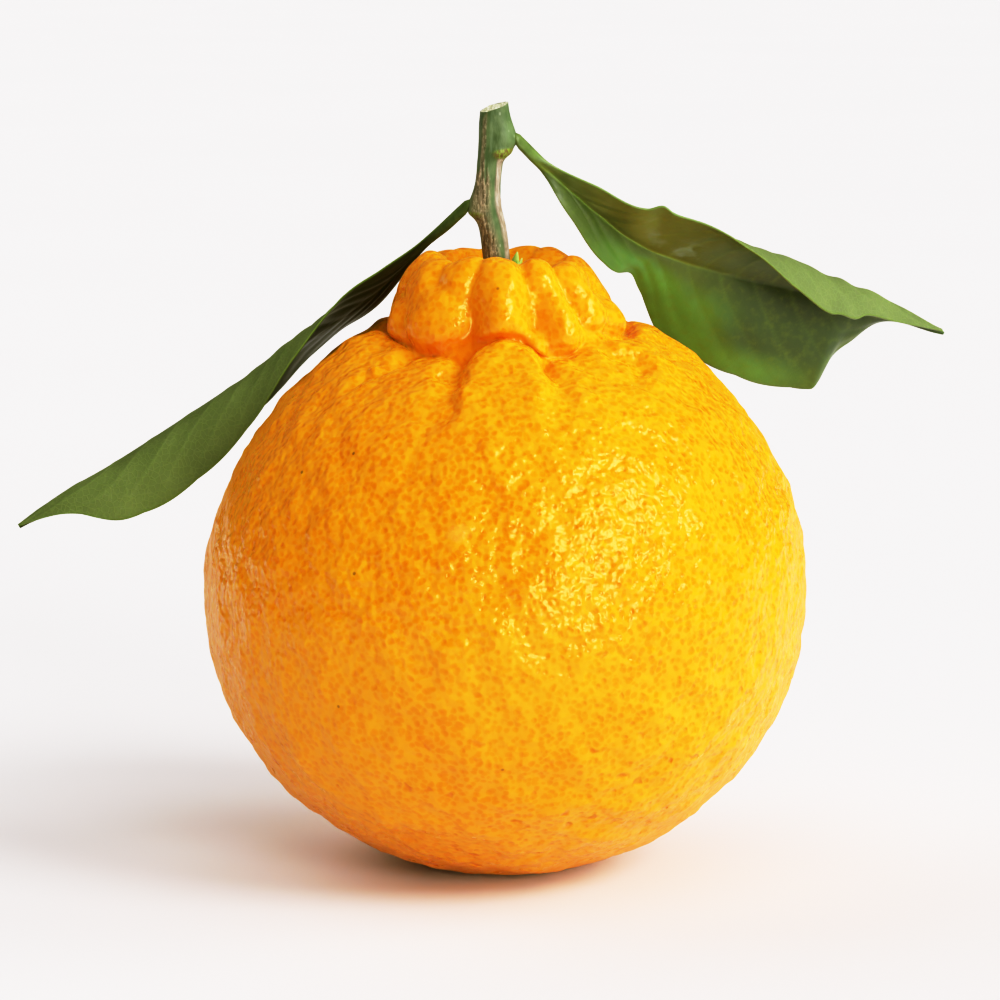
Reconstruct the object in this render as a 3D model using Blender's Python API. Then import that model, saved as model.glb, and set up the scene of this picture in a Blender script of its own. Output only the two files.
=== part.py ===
"""A dekopon resting upright on its base, with its cut stem and two leaves."""

import math

import bpy
import numpy as np

MM = 0.001

# Fruit. Angles on it count from the front, rising towards +X.
FRUIT_SEGMENTS = 108
RINGS_PER_STATION = 1.08
REST_RADIUS = 9.5
NECK_STATION = 30
NORMAL_REACH = 1.6
WARP_TURN = 2.6
WARP_CLIMB = 0.8
WARP_LENGTH = 8.0
LOBE_FALL = 2.5
LOBE_CREASE = 4.0
DEEPEST_CREASE = -1.9
FURROW_BULGE = 0.4
LUMP_HEIGHT = 0.16
LUMP_LENGTH = 9.0
LUMP_WAVES = 60

# Radius, height, axis x, then how far the knob's lobes, the shoulder's furrows and the neck's dips apply.
PROFILE = [
    (0.0, 0.0, 0, 0, 0, 0),
    (5.0, 0.0, 0, 0, 0, 0),
    (REST_RADIUS, 0.0, 0, 0, 0, 0),
    (13.4, 0.9, 0, 0, 0, 0),
    (17.4, 2.25, 0, 0, 0, 0),
    (21.6, 4.0, 0, 0, 0, 0),
    (25.6, 6.35, 0, 0, 0, 0),
    (29.3, 9.1, 0, 0, 0, 0),
    (32.8, 12.15, 0, 0, 0, 0),
    (35.9, 15.4, 0, 0, 0, 0),
    (38.6, 19.1, 0, 0, 0, 0),
    (40.9, 23.1, 0, 0, 0, 0),
    (42.7, 27.5, 0, 0, 0, 0),
    (44.1, 32.2, 0, 0, 0, 0),
    (44.8, 37.2, 0, 0, 0, 0),
    (45.1, 42.2, 0.05, 0, 0, 0),
    (44.8, 47.2, 0.15, 0, 0, 0),
    (43.8, 52.0, 0.25, 0, 0, 0),
    (42.3, 56.7, 0.35, 0, 0, 0),
    (40.2, 61.1, 0.45, 0, 0.03, 0),
    (37.7, 65.4, 0.5, 0, 0.08, 0),
    (34.9, 69.3, 0.55, 0, 0.18, 0),
    (31.9, 72.8, 0.6, 0, 0.34, 0),
    (29.0, 75.8, 0.65, 0, 0.55, 0.05),
    (26.1, 78.2, 0.65, 0, 0.78, 0.15),
    (23.5, 80.1, 0.65, 0, 0.94, 0.3),
    (21.4, 81.3, 0.6, 0, 1.0, 0.5),
    (19.6, 81.7, 0.55, 0, 0.9, 0.7),
    (18.4, 81.3, 0.5, 0.05, 0.7, 0.9),
    (17.7, 80.9, 0.4, 0.15, 0.45, 1.0),
    (17.5, 80.6, 0.35, 0.3, 0.2, 1.0),
    (17.7, 80.9, 0.3, 0.6, 0, 0.9),
    (17.9, 81.8, 0.3, 0.9, 0, 0.7),
    (17.6, 83.2, 0.3, 1.0, 0, 0.4),
    (16.8, 85.0, 0.25, 1.0, 0, 0.2),
    (15.8, 86.8, 0.25, 1.0, 0, 0),
    (14.7, 88.5, 0.2, 1.0, 0, 0),
    (13.6, 90.1, 0.15, 1.0, 0, 0),
    (12.4, 91.4, 0.1, 1.0, 0, 0),
    (11.0, 92.2, 0, 0.95, 0, 0),
    (9.6, 92.2, -0.1, 0.85, 0, 0),
    (8.4, 91.5, -0.3, 0.7, 0, 0),
    (7.4, 90.4, -0.5, 0.5, 0, 0),
    (6.6, 89.1, -0.6, 0.3, 0, 0),
    (6.0, 87.7, -0.7, 0.12, 0, 0),
    (5.6, 86.5, -0.8, 0, 0, 0),
    (5.1, 85.8, -0.9, 0, 0, 0),
    (3.0, 85.6, -0.9, 0, 0, 0),
    (0.0, 85.6, -0.9, 0, 0, 0),
]

# Angle, distance up from the neck, half width, half length, lean in degrees a millimetre, height of lobes.
KNOB_LOBES = [
    (-2, 7.8, 5.0, 8.6, 0.3, 2.1),
    (22, 10.6, 4.0, 7.2, -1.0, 1.0),
    (31, 3.4, 4.2, 5.6, -0.8, 1.3),
    (50, 7.4, 4.4, 8.2, -0.6, 0.7),
    (72, 2.2, 5.0, 4.8, -0.5, 0.3),
    (60, 12.5, 5.0, 5.5, 0.0, -0.5),
    (-30, 11.4, 4.4, 5.6, 0.0, 0.9),
    (-58, 9.6, 6.2, 7.0, 0.0, 1.0),
    (-43, 4.2, 6.6, 6.8, 0.0, 1.1),
    (-70, 3.2, 6.0, 6.0, 0.0, 0.8),
    (-88, 10.5, 6.0, 9.5, 0.0, 0.9),
    (92, 8.5, 4.8, 9.0, 0.0, -0.9),
    (117, 7.5, 4.8, 10.5, 0.0, 0.2),
    (140, 10.0, 4.4, 9.5, 0.0, 0.7),
    (148, 3.0, 4.6, 5.4, 0.0, 0.4),
    (164, 8.0, 5.2, 10.5, 0.0, 1.1),
    (190, 9.5, 5.0, 9.0, 0.0, 0.7),
    (199, 3.2, 4.8, 5.2, 0.0, 0.4),
    (214, 8.0, 4.8, 10.5, 0.0, 0.9),
    (237, 9.5, 5.0, 9.0, 0.0, 0.6),
    (258, 6.5, 5.0, 9.5, 0.0, 0.6),
]

# Small knobs and pits of the peel: angle, distance up from the neck, half width, half length and height.
WARTS = [
    (14.5, 0.8, 2.0, 1.9, 2.3),
    (11.5, 12.5, 0.9, 3.2, -0.9),
    (-17.5, 3.0, 1.4, 3.8, -1.0),
    (12.5, 5.5, 1.0, 4.0, -0.6),
    (37, 4.0, 1.0, 4.5, -0.6),
    (-52, -8.0, 1.0, 1.0, 1.1),
    (-36, -6.5, 2.6, 1.8, 0.3),
]

# Angle, depth in millimetres, half width in degrees and share of the full length of each furrow.
SHOULDER_FURROWS = [
    (-142, 0.7, 7, 0.7),
    (-98, 1.0, 8, 0.9),
    (-50, 0.9, 4.5, 0.6),
    (-20, 1.9, 4.5, 1.0),
    (16, 1.3, 4.5, 0.7),
    (47, 0.9, 5, 0.6),
    (79, 0.8, 8, 0.8),
    (116, 1.2, 7, 1.0),
    (152, 0.6, 7, 0.65),
    (186, 0.9, 6, 0.9),
]

# Angle, rise in millimetres and half width in degrees of each rise or dip in the shoulder's crest.
CREST_RISES = [
    (0, -2.6, 75),
    (-2, 0.5, 20),
    (-42, -1.4, 20),
    (36, -1.0, 16),
]

# The same in the neck.
NECK_RISES = [
    (-45, -1.2, 24),
    (-1, 1.4, 13),
    (19, -1.4, 8),
    (30, -1.0, 7),
    (49, 1.2, 9),
    (75, -0.4, 12),
    (-90, -0.4, 20),
    (130, -0.3, 18),
    (200, 0.4, 20),
]

# Calyx
CALYX_SEGMENTS = 50
CALYX_BASE_HEIGHT = 86.0
CALYX_SEPALS = 5
CALYX_FIRST_SEPAL = 46
CALYX_SOCKET_RADIUS = 2.4
CALYX_SOCKET_FLOOR = 86.7
CALYX_RIM_HEIGHT = 88.0
SEPAL_HEIGHT = 4.4
SEPAL_WALL = 0.75
CALYX_AXIS_X = -0.9

# Stem: centre x, centre y, height, radius.
STEM_SIDES = 24
STEM_RINGS = 34
STEM_PATH = [
    (-0.9, 0.0, 87.05, 1.95),
    (-1.1, 0.0, 90.0, 1.98),
    (-1.4, 0.0, 93.0, 2.02),
    (-1.8, 0.1, 96.0, 2.02),
    (-2.4, 0.1, 99.0, 1.9),
    (-2.6, 0.2, 102.0, 1.86),
    (-2.4, 0.2, 105.0, 1.88),
    (-2.1, 0.2, 108.0, 1.95),
    (-1.9, 0.3, 111.5, 1.98),
    (-1.7, 0.3, 114.0, 2.0),
]
STEM_CUT_RISE_X = 0.32
STEM_CUT_RISE_Y = 0.15
STEM_CUT_FROM = 110.0
# Azimuth, height, how far it stands out, half length upwards, half length downwards.
STEM_BOSSES = [
    (5, 109.0, 1.8, 3.4, 1.6),
    (172, 99.1, 1.2, 2.4, 1.8),
]
STEM_BUDS = [
    (-22, 107.2, 0.7, 0.75, 0.75),
    (200, 98.2, 0.35, 0.6, 0.6),
]

# Leaves
BLADE_HALF_THICKNESS = 0.31
MIDRIB_HALF_THICKNESS = 0.55
LEAF_STATIONS = 37
HALF_BLADE_STRIPS = 4
CRENATION = 0.3
CRENATIONS_PER_SIDE = 9

# Each station holds its place along the leaf, then x, y, z.
RIGHT_MIDRIB = [
    (0.00, 2.05, 0.45, 108.9),
    (0.07, 5.4, 2.0, 105.5),
    (0.19, 12.3, 5.0, 99.1),
    (0.32, 20.4, 9.0, 92.7),
    (0.44, 28.4, 13.0, 89.4),
    (0.56, 36.0, 17.0, 87.0),
    (0.67, 43.9, 21.0, 84.9),
    (0.78, 51.6, 25.0, 82.6),
    (0.90, 59.9, 30.0, 80.2),
    (1.00, 69.2, 36.0, 76.2),
]

# A margin station also holds the bulge of its half blade out of the flat.
RIGHT_UPPER_MARGIN = [
    (0.00, 2.1, -0.1, 109.85, 0, 0, 0),
    (0.07, 5.7, 1.3, 106.2, 0, 0, 0),
    (0.19, 13.7, 1.5, 102.1, 0, 0, 0),
    (0.32, 21.6, 2.0, 98.8, 0, -0.5, 0.5),
    (0.345, 23.5, 2.2, 99.1, 0, -0.6, 0.6),
    (0.37, 24.9, 2.3, 98.1, 0, -0.7, 0.7),
    (0.44, 29.4, 3.0, 96.6, 0, -1.0, 1.0),
    (0.56, 37.5, 5.0, 91.8, 0, -1.0, 2.6),
    (0.67, 44.6, 10.0, 85.6, 0, 0, 4.4),
    (0.76, 50.2, 14.8, 81.5, 0, 0, 4.3),
    (0.78, 51.2, 16.0, 81.4, 0, 0, 4.2),
    (0.82, 53.9, 18.6, 80.4, 0, 0, 3.6),
    (0.85, 55.6, 20.6, 80.7, 0, 0, 3.1),
    (0.90, 59.5, 24.0, 79.6, 0, 0, 2.2),
    (1.00, 69.3, 35.9, 76.4, 0, 0, 0),
]
RIGHT_LOWER_MARGIN = [
    (0.00, 2.05, 1.0, 107.95, 0, 0, 0),
    (0.07, 5.1, 2.5, 104.6, 0, 0, 0),
    (0.19, 9.7, 3.2, 97.5, 0, 0, 0),
    (0.32, 16.8, 7.5, 88.8, 0, 0, 0),
    (0.355, 19.1, 10.2, 88.4, 0, -0.2, 0),
    (0.385, 20.2, 12.8, 85.8, 0, -0.5, 0),
    (0.412, 21.4, 15.4, 82.9, 0, -0.8, 0),
    (0.44, 23.0, 18.0, 79.3, 0, -1.0, 0),
    (0.56, 31.4, 22.0, 73.1, 0, -1.5, 0),
    (0.67, 39.2, 25.0, 69.8, 0, -1.5, 0),
    (0.765, 46.9, 26.9, 68.6, 0, -1.0, 0),
    (0.78, 47.9, 27.0, 68.7, 0, -1.0, 0),
    (0.80, 48.9, 27.4, 69.8, 0, -0.8, 0),
    (0.83, 50.9, 28.4, 73.3, 0, -0.6, 0),
    (0.865, 54.3, 29.6, 75.9, 0, -0.3, 0),
    (0.90, 57.6, 31.0, 78.2, 0, 0, 0),
    (1.00, 69.1, 36.1, 76.0, 0, 0, 0),
]

LEFT_MIDRIB = [
    (0.00, -5.9, 0.6, 99.1),
    (0.09, -12.2, 5.3, 93.0),
    (0.20, -18.9, 9.0, 86.1),
    (0.31, -25.8, 11.0, 80.8),
    (0.42, -32.7, 12.0, 76.1),
    (0.55, -41.6, 12.0, 70.3),
    (0.67, -50.8, 12.0, 64.3),
    (0.80, -59.9, 11.0, 58.6),
    (0.91, -67.8, 10.0, 54.1),
    (1.00, -74.0, 9.0, 49.7),
]
LEFT_NEAR_MARGIN = [
    (0.00, -5.95, -0.1, 99.8, 0, 0, 0),
    (0.09, -12.4, 4.6, 93.7, 0, 0, 0),
    (0.20, -18.1, 4.0, 89.7, 0, 0, 0),
    (0.31, -24.7, 3.0, 85.0, 0, 0, 0.3),
    (0.42, -31.6, 2.0, 76.3, 0, -0.5, 2.2),
    (0.55, -39.3, 4.0, 64.7, 0, -2.0, 3.0),
    (0.67, -47.7, 6.0, 56.4, 0, -2.0, 3.2),
    (0.80, -57.6, 6.0, 51.4, 0, -1.6, 2.4),
    (0.91, -67.2, 7.0, 52.0, 0, -0.6, 1.0),
    (1.00, -74.0, 8.8, 49.8, 0, 0, 0),
]
LEFT_FAR_MARGIN = [
    (0.00, -5.85, 1.3, 98.4, 0, 0, 0),
    (0.09, -12.0, 6.3, 92.4, 0, 0, 0),
    (0.20, -19.1, 13.0, 83.4, 0, 0, 0),
    (0.31, -25.6, 19.0, 78.4, 0, 0, 0),
    (0.42, -31.4, 22.5, 72.9, 0, 0, 0.5),
    (0.55, -37.7, 24.0, 66.1, 0, 0, 0.8),
    (0.67, -49.0, 24.0, 58.0, 0, 0, 1.0),
    (0.80, -58.8, 20.0, 53.3, 0, 0, 0.6),
    (0.91, -67.4, 14.0, 51.8, 0, 0, 0),
    (1.00, -74.0, 9.2, 49.6, 0, 0, 0),
]
RIGHT_PETIOLE_RADIUS = 1.1
LEFT_PETIOLE_RADIUS = 1.0
PETIOLE_SHARE = 0.03
PETIOLE_BLEND = 0.07


def clear_scene():
    for old in list(bpy.data.objects):
        bpy.data.objects.remove(old)


def make_material(name, colour, roughness):
    material = bpy.data.materials.new(name)
    material.use_nodes = True
    shader = material.node_tree.nodes["Principled BSDF"]
    shader.inputs["Base Color"].default_value = (*colour, 1)
    shader.inputs["Roughness"].default_value = roughness
    return material


def add_solid(name, points, faces, material):
    mesh = bpy.data.meshes.new(name)
    mesh.from_pydata((points * MM).tolist(), [], faces)
    mesh.validate()
    solid = bpy.data.objects.new(name, mesh)
    mesh.materials.append(material)
    bpy.context.scene.collection.objects.link(solid)
    return solid


def through_stations(places, values, at):
    """A smooth curve through the stations, read at each place."""
    places = np.asarray(places, float)
    values = np.asarray(values, float)
    slopes = np.gradient(values, places, axis=0)
    left = np.clip(np.searchsorted(places, at, side="right") - 1, 0, len(places) - 2)
    step = (places[left + 1] - places[left])[:, None]
    t = (at - places[left])[:, None] / step
    start = (2 * t**3 - 3 * t**2 + 1) * values[left] + (t**3 - 2 * t**2 + t) * slopes[left] * step
    end = (3 * t**2 - 2 * t**3) * values[left + 1] + (t**3 - t**2) * slopes[left + 1] * step
    return start + end


def turned(angle, centre):
    """The angle from the centre in degrees, between -180 and 180."""
    return (angle - centre + 180) % 360 - 180


def knob_lobes(angle, climb, radius):
    """How far the knob stands out at each angle and distance up from the neck: domes that meet in creases."""
    total = np.exp(LOBE_CREASE * DEEPEST_CREASE) * np.ones(np.broadcast(angle, climb).shape)
    for centre, middle, half_width, half_length, lean, height in KNOB_LOBES:
        away = turned(angle, centre + lean * (climb - middle))
        across = np.abs(np.radians(away) * np.maximum(radius, 8) / half_width)
        along = np.abs((climb - middle) / half_length)
        total += np.exp(LOBE_CREASE * (height - LOBE_FALL * (across**2 + along**2.2)))
    return np.log(total) / LOBE_CREASE


def warts(angle, climb, radius):
    total = np.zeros(np.broadcast(angle, climb).shape)
    for centre, middle, half_width, half_length, height in WARTS:
        across = np.radians(turned(angle, centre)) * radius / half_width
        along = (climb - middle) / half_length
        total += height * np.exp(-(across**2) - along**2)
    return total


def shoulder_furrows(angle, strength):
    """How far the shoulder stands out where the furrows' strength is that of each row."""
    rise = FURROW_BULGE * strength * np.ones_like(angle)
    for centre, depth, width, length in SHOULDER_FURROWS:
        reach = np.clip((strength - 1 + length) / length, 0, 1)
        rise = rise - (depth + FURROW_BULGE) * reach * np.exp(-((turned(angle, centre) / width) ** 2))
    return rise


def rises(angle, rows):
    total = np.zeros_like(angle)
    for centre, height, width in rows:
        total += height * np.exp(-((turned(angle, centre) / width) ** 2))
    return total


def swellings(points, length, seed):
    """A field of soft swellings of that length, from waves in seeded directions."""
    random = np.random.default_rng(seed)
    total = np.zeros(points.shape[:-1])
    for _ in range(LUMP_WAVES):
        direction = random.normal(size=3)
        direction /= np.linalg.norm(direction)
        wave = 2 * math.pi / (length * random.uniform(0.7, 1.5))
        total += np.sin(points @ direction * wave + random.uniform(0, 2 * math.pi))
    return total / math.sqrt(LUMP_WAVES)


def profile_at(at):
    """The profile and its outward direction at each place, the direction smoothed over some stations."""
    last = len(PROFILE) - 1
    stations = np.arange(last + 1)
    curve = through_stations(stations, PROFILE, at)
    before = through_stations(stations, PROFILE, np.clip(at - NORMAL_REACH, 0, last))
    after = through_stations(stations, PROFILE, np.clip(at + NORMAL_REACH, 0, last))
    along = (after - before)[:, :2]
    along /= np.linalg.norm(along, axis=1)[:, None]
    return curve, along[:, 1, None], -along[:, 0, None]


def fruit_points(segments, rings):
    """A grid of points over the peel, one row to a ring."""
    at = np.linspace(0, len(PROFILE) - 1, rings)
    curve, normal_r, normal_z = profile_at(at)
    steps = np.linalg.norm(np.diff(curve[:, :2], axis=0), axis=1)
    climb = np.append(0, np.cumsum(steps))
    climb = (climb - np.interp(NECK_STATION, at, climb))[:, None]
    angle = (np.arange(segments) * 360 / segments - 180)[None]
    theta = np.radians(angle - 90)
    radius, height, axis, knob, furrow, neck = (curve[:, i, None] for i in range(6))
    plain = np.stack([radius * np.cos(theta), radius * np.sin(theta), height + 0 * theta], axis=-1)
    turn = angle + WARP_TURN * swellings(plain, WARP_LENGTH, 31)
    climbed = climb + WARP_CLIMB * swellings(plain, WARP_LENGTH, 32)
    outward = knob * knob_lobes(turn, climbed, radius) + shoulder_furrows(turn, furrow)
    outward += warts(angle, climb, radius)
    r = radius + outward * normal_r
    z = height + outward * normal_z + neck * rises(turn, NECK_RISES) + furrow * rises(turn, CREST_RISES)
    points = np.stack([r * np.cos(theta), r * np.sin(theta), z], axis=-1)
    settle = np.clip((radius - REST_RADIUS) / 8, 0, 1) * np.clip((at[:, None] - 2) / 2, 0, 1)
    swell = LUMP_HEIGHT * swellings(points, LUMP_LENGTH, 7) * np.where(at[:, None] < 40, settle, 0.5 * knob)
    points[..., 0] += axis + swell * normal_r * np.cos(theta)
    points[..., 1] += swell * normal_r * np.sin(theta)
    points[..., 2] += swell * normal_z
    return points


def grid_solid(grid, low_pole, high_pole):
    """Points and triangles of rings stacked between two poles, facing out when rings turn leftwards."""
    rings, around = grid.shape[:2]
    points = np.concatenate([grid.reshape(-1, 3), [low_pole, high_pole]])
    low = rings * around
    faces = []
    for i in range(around):
        j = (i + 1) % around
        faces.append((low, j, i))
        faces.append((low + 1, (rings - 1) * around + i, (rings - 1) * around + j))
        for k in range(rings - 1):
            a, b = k * around + i, k * around + j
            c, d = b + around, a + around
            faces.append((a, b, c))
            faces.append((a, c, d))
    return points, faces


def make_fruit(material):
    rings = round((len(PROFILE) - 1) * RINGS_PER_STATION) + 1
    grid = fruit_points(FRUIT_SEGMENTS, rings)
    points, faces = grid_solid(grid[1:-1], grid[0, 0], grid[-1, 0])
    return add_solid("fruit", points, faces, material)


def sepal_height(angle):
    """How far the calyx's edge rises above its rim: pointed sepals with low gaps between them."""
    share = turned(angle * CALYX_SEPALS, CALYX_FIRST_SEPAL * CALYX_SEPALS) / 180
    tall = 1 - 0.3 * np.abs(turned(angle, CALYX_FIRST_SEPAL)) / 180
    return SEPAL_HEIGHT * tall * np.clip(1 - np.abs(share) * 1.2, 0, 1) ** 0.7


def make_calyx(material):
    angle = np.arange(CALYX_SEGMENTS) * 360 / CALYX_SEGMENTS
    rise = sepal_height(angle)
    edge = CALYX_RIM_HEIGHT + rise
    inner = CALYX_SOCKET_RADIUS + 0.3 * rise
    outer = inner + SEPAL_WALL
    flat = np.ones_like(angle)
    middle = CALYX_RIM_HEIGHT + 0.5 * rise
    mid_inner = CALYX_SOCKET_RADIUS + 0.1 * rise
    rings = [
        (3.6 * flat, CALYX_BASE_HEIGHT * flat),
        (4.3 * flat, (CALYX_BASE_HEIGHT + 0.5) * flat),
        (3.9 * flat, (CALYX_BASE_HEIGHT + 1.2) * flat),
        (mid_inner + SEPAL_WALL + 0.15, middle),
        (outer - 0.15, edge),
        (inner + 0.15, edge),
        (mid_inner, middle - 0.1),
        (CALYX_SOCKET_RADIUS * flat, (CALYX_SOCKET_FLOOR + 0.6) * flat),
        (CALYX_SOCKET_RADIUS * flat, CALYX_SOCKET_FLOOR * flat),
    ]
    theta = np.radians(angle)
    grid = np.array(
        [np.stack([CALYX_AXIS_X + r * np.cos(theta), r * np.sin(theta), z], axis=-1) for r, z in rings]
    )
    low_pole = (CALYX_AXIS_X, 0, CALYX_BASE_HEIGHT)
    high_pole = (CALYX_AXIS_X, 0, CALYX_SOCKET_FLOOR)
    points, faces = grid_solid(grid, low_pole, high_pole)
    return add_solid("calyx", points, faces, material)


def stem_swelling(theta, height):
    """How far the leaf bosses and buds stand out of the bark."""
    total = np.zeros(np.broadcast(theta, height).shape)
    for azimuth, centre, out, up, down in STEM_BOSSES + STEM_BUDS:
        length = np.where(height > centre, up, down)
        facing = np.maximum(0, np.cos(theta - math.radians(azimuth)))
        total += out * facing**3 * np.exp(-(((height - centre) / length) ** 2))
    return total


def make_stem(material):
    path = np.array(STEM_PATH)
    heights = np.linspace(path[0, 2], path[-1, 2], STEM_RINGS)
    line = through_stations(path[:, 2], path, heights)
    theta = (np.arange(STEM_SIDES) * 2 * math.pi / STEM_SIDES)[None]
    level = heights[:, None]
    ridge = 0.05 * np.cos(3 * theta + 0.12 * level) + 0.04 * np.cos(5 * theta - 0.3 * level)
    radius = line[:, 3, None] + ridge + stem_swelling(theta, level)
    across = radius * np.cos(theta)
    depth = radius * np.sin(theta)
    share = np.clip((level - STEM_CUT_FROM) / (path[-1, 2] - STEM_CUT_FROM), 0, 1) ** 2
    z = level + share * (STEM_CUT_RISE_X * across + STEM_CUT_RISE_Y * depth)
    grid = np.stack([line[:, 0, None] + across, line[:, 1, None] + depth, z], axis=-1)
    points, faces = grid_solid(grid, line[0, :3], line[-1, :3])
    return add_solid("stem", points, faces, material)


def half_blade(midrib, rows, at, across, phase):
    """A half blade from the midrib to its crenate margin, as a grid of points."""
    rows = np.array(rows, float)
    both = through_stations(rows[:, 0], rows[:, 1:], at)
    margin, bulge = both[:, :3], both[:, 3:]
    free = np.clip((at - 0.2) / 0.1, 0, 1) * np.clip((1 - at) / 0.1, 0, 1)
    tooth = np.abs(np.sin(math.pi * CRENATIONS_PER_SIDE * at + phase))
    reach = np.linalg.norm(margin - midrib, axis=1)
    longer = 1 + free * CRENATION * (tooth - 0.5) / np.maximum(reach, 3)
    margin = midrib + (margin - midrib) * longer[:, None]
    share = across[None, :, None]
    return midrib[:, None] + (margin - midrib)[:, None] * share + bulge[:, None] * 4 * share * (1 - share)


def make_leaf(name, midrib_rows, upper_rows, lower_rows, petiole_radius, lower_face_up, material):
    at = np.linspace(0, 1, LEAF_STATIONS)
    midrib_rows = np.array(midrib_rows, float)
    midrib = through_stations(midrib_rows[:, 0], midrib_rows[:, 1:], at)
    across = np.linspace(0, 1, HALF_BLADE_STRIPS + 1)
    upper = half_blade(midrib, upper_rows, at, across, 0.4)
    lower = half_blade(midrib, lower_rows, at, across[1:], 1.3)
    middle = np.concatenate([lower[:, ::-1], upper], axis=1)
    along = np.gradient(middle, axis=0)
    sideways = np.gradient(middle, axis=1)
    normal = np.cross(along, sideways)
    normal /= np.linalg.norm(normal, axis=-1)[..., None]
    signed = np.concatenate([-across[:0:-1], across])
    rounded = np.sqrt(np.clip(1 - signed**2, 0.02, 1))[None]
    blend = np.clip((at - PETIOLE_SHARE) / PETIOLE_BLEND, 0, 1)[:, None]
    stalk = petiole_radius * rounded
    rib = (MIDRIB_HALF_THICKNESS - BLADE_HALF_THICKNESS) * np.clip(1 - np.abs(signed) * 4, 0, 1)[None]
    rib = rib * (1 - 0.8 * at[:, None])
    plain, ribbed = BLADE_HALF_THICKNESS, BLADE_HALF_THICKNESS + 2 * rib
    if lower_face_up:
        plain, ribbed = ribbed, plain
    upside = stalk * (1 - blend) + plain * blend
    downside = stalk * (1 - blend) + ribbed * blend
    top = middle + normal * upside[..., None]
    bottom = middle - normal * downside[..., None]
    loop = np.concatenate([top, bottom[:, ::-1]], axis=1)
    points, faces = leaf_mesh(loop, top.shape[1])
    return add_solid(name, points, faces, material)


def leaf_mesh(loop, strips):
    """Triangles of the closed leaf, with the same diagonals on both faces."""
    stations, around = loop.shape[:2]
    points = loop.reshape(-1, 3)
    faces = []
    for k in range(stations - 1):
        for i in range(around):
            j = (i + 1) % around
            a, b = k * around + i, k * around + j
            c, d = b + around, a + around
            if i < strips:
                faces += [(a, c, b), (a, d, c)]
            else:
                faces += [(a, d, b), (b, d, c)]
    for end, flip in ((0, False), (stations - 1, True)):
        first = end * around
        for i in range(strips - 1):
            a, b = first + i, first + i + 1
            c, d = first + around - 2 - i, first + around - 1 - i
            for face in ((a, b, c), (a, c, d)):
                faces.append(face[::-1] if flip else face)
    return points, faces


def main():
    clear_scene()
    peel = make_material("peel", (0.95, 0.45, 0.02), 0.35)
    sepal = make_material("calyx", (0.16, 0.3, 0.07), 0.6)
    bark = make_material("bark", (0.16, 0.24, 0.11), 0.7)
    blade = make_material("leaf", (0.06, 0.16, 0.02), 0.4)
    make_fruit(peel)
    make_calyx(sepal)
    make_stem(bark)
    make_leaf(
        "leaf_right", RIGHT_MIDRIB, RIGHT_UPPER_MARGIN, RIGHT_LOWER_MARGIN, RIGHT_PETIOLE_RADIUS, False, blade
    )
    make_leaf(
        "leaf_left", LEFT_MIDRIB, LEFT_NEAR_MARGIN, LEFT_FAR_MARGIN, LEFT_PETIOLE_RADIUS, True, blade
    )


main()
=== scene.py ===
"""A dekopon on a pale floor: peel, calyx, twig and two leaves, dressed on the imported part."""

import math
from functools import reduce

import bpy
import numpy as np
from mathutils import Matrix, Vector


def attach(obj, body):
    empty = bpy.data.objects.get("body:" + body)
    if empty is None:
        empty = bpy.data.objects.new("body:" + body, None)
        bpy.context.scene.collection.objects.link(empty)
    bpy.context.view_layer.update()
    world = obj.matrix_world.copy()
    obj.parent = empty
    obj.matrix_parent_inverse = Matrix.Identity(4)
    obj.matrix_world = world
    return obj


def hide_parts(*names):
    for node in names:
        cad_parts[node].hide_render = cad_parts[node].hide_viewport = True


MM = 0.001

# Camera: the fruit fills the photograph's 1000 pixels at 0.15 mm each.
CAMERA_AIM = (-0.75, 0, 55.23)
CAMERA_DISTANCE = 620
CAMERA_ELEVATION = 9
FRAME_WIDTH = 150
SENSOR_WIDTH = 36
CLIP_NEAR = 0.01
CLIP_FAR = 50

# Azimuth, elevation and spread in degrees, then strength, of each lamp.
LIGHTS = {
    "window_front": (27, 14, 25, 2.2),
    "window_middle": (58, 36, 25, 2.15),
    "side_wall": (100, 20, 38, 2.2),
    "ceiling": (25, 62, 60, 1),
    "left_wall": (-118, 42, 50, 1.1),
    "back_wall": (180, 30, 60, 0.75),
}
LAMP_COLOUR = (1, 0.99, 0.97)
SURROUNDINGS = (0.98, 0.97, 1)
SURROUNDING_LIGHT = 0.13
FLOOR_RADIUS = 8
FLOOR_SIDES = 96
FLOOR_DROP = 0.05
FLOOR_COLOUR = (0.83, 0.8, 0.815)
FLOOR_SHADE = 0.985
# How light in the scene becomes brightness in the picture.
CURVE_WHITE = 2
CURVE = [(0, 0), (0.1, 0.05), (0.3, 0.225), (0.5, 0.48), (0.7, 0.69), (1, 0.86), (1.4, 0.955), (2, 1)]
# A further curve, which takes a little blue out of the darks.
BLUE_CURVE = [(0.03, 0.018), (0.08, 0.064), (0.18, 0.17)]
COMBINED_CHANNEL = 3
BLUE_CHANNEL = 2

# Fruit. Angles on it count from the front, rising towards +X.
PEEL_SEGMENTS = 400
BODY_RINGS = 148
KNOB_RINGS = 88
HOLLOW_RINGS = 10
PROFILE_SAMPLES = 2000
REST_RADIUS = 9.5
REST_SETTLE = 8
NORMAL_REACH = 1.6

# Places along the profile, as row numbers of it.
REST_STATION = 2
REST_FADE = 2
KNOB_FROM_STATION = 24
NECK_STATION = 30
KNOB_TOP_STATION = 40
HOLLOW_STATION = 44
HOLLOW_FADE = 3
KNOB_TO_STATION = 45

# Swellings: their wave count, and the length, seed and size of each field of them.
WAVES = 60
WARP_LENGTH = 8
TURN_WARP = 2.6
TURN_SEED = 31
CLIMB_WARP = 0.8
CLIMB_SEED = 32
LUMP_LENGTH = 9
LUMP_HEIGHT = 0.16
LUMP_SEED = 7
LUMP_KNOB_SHARE = 0.5
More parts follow.
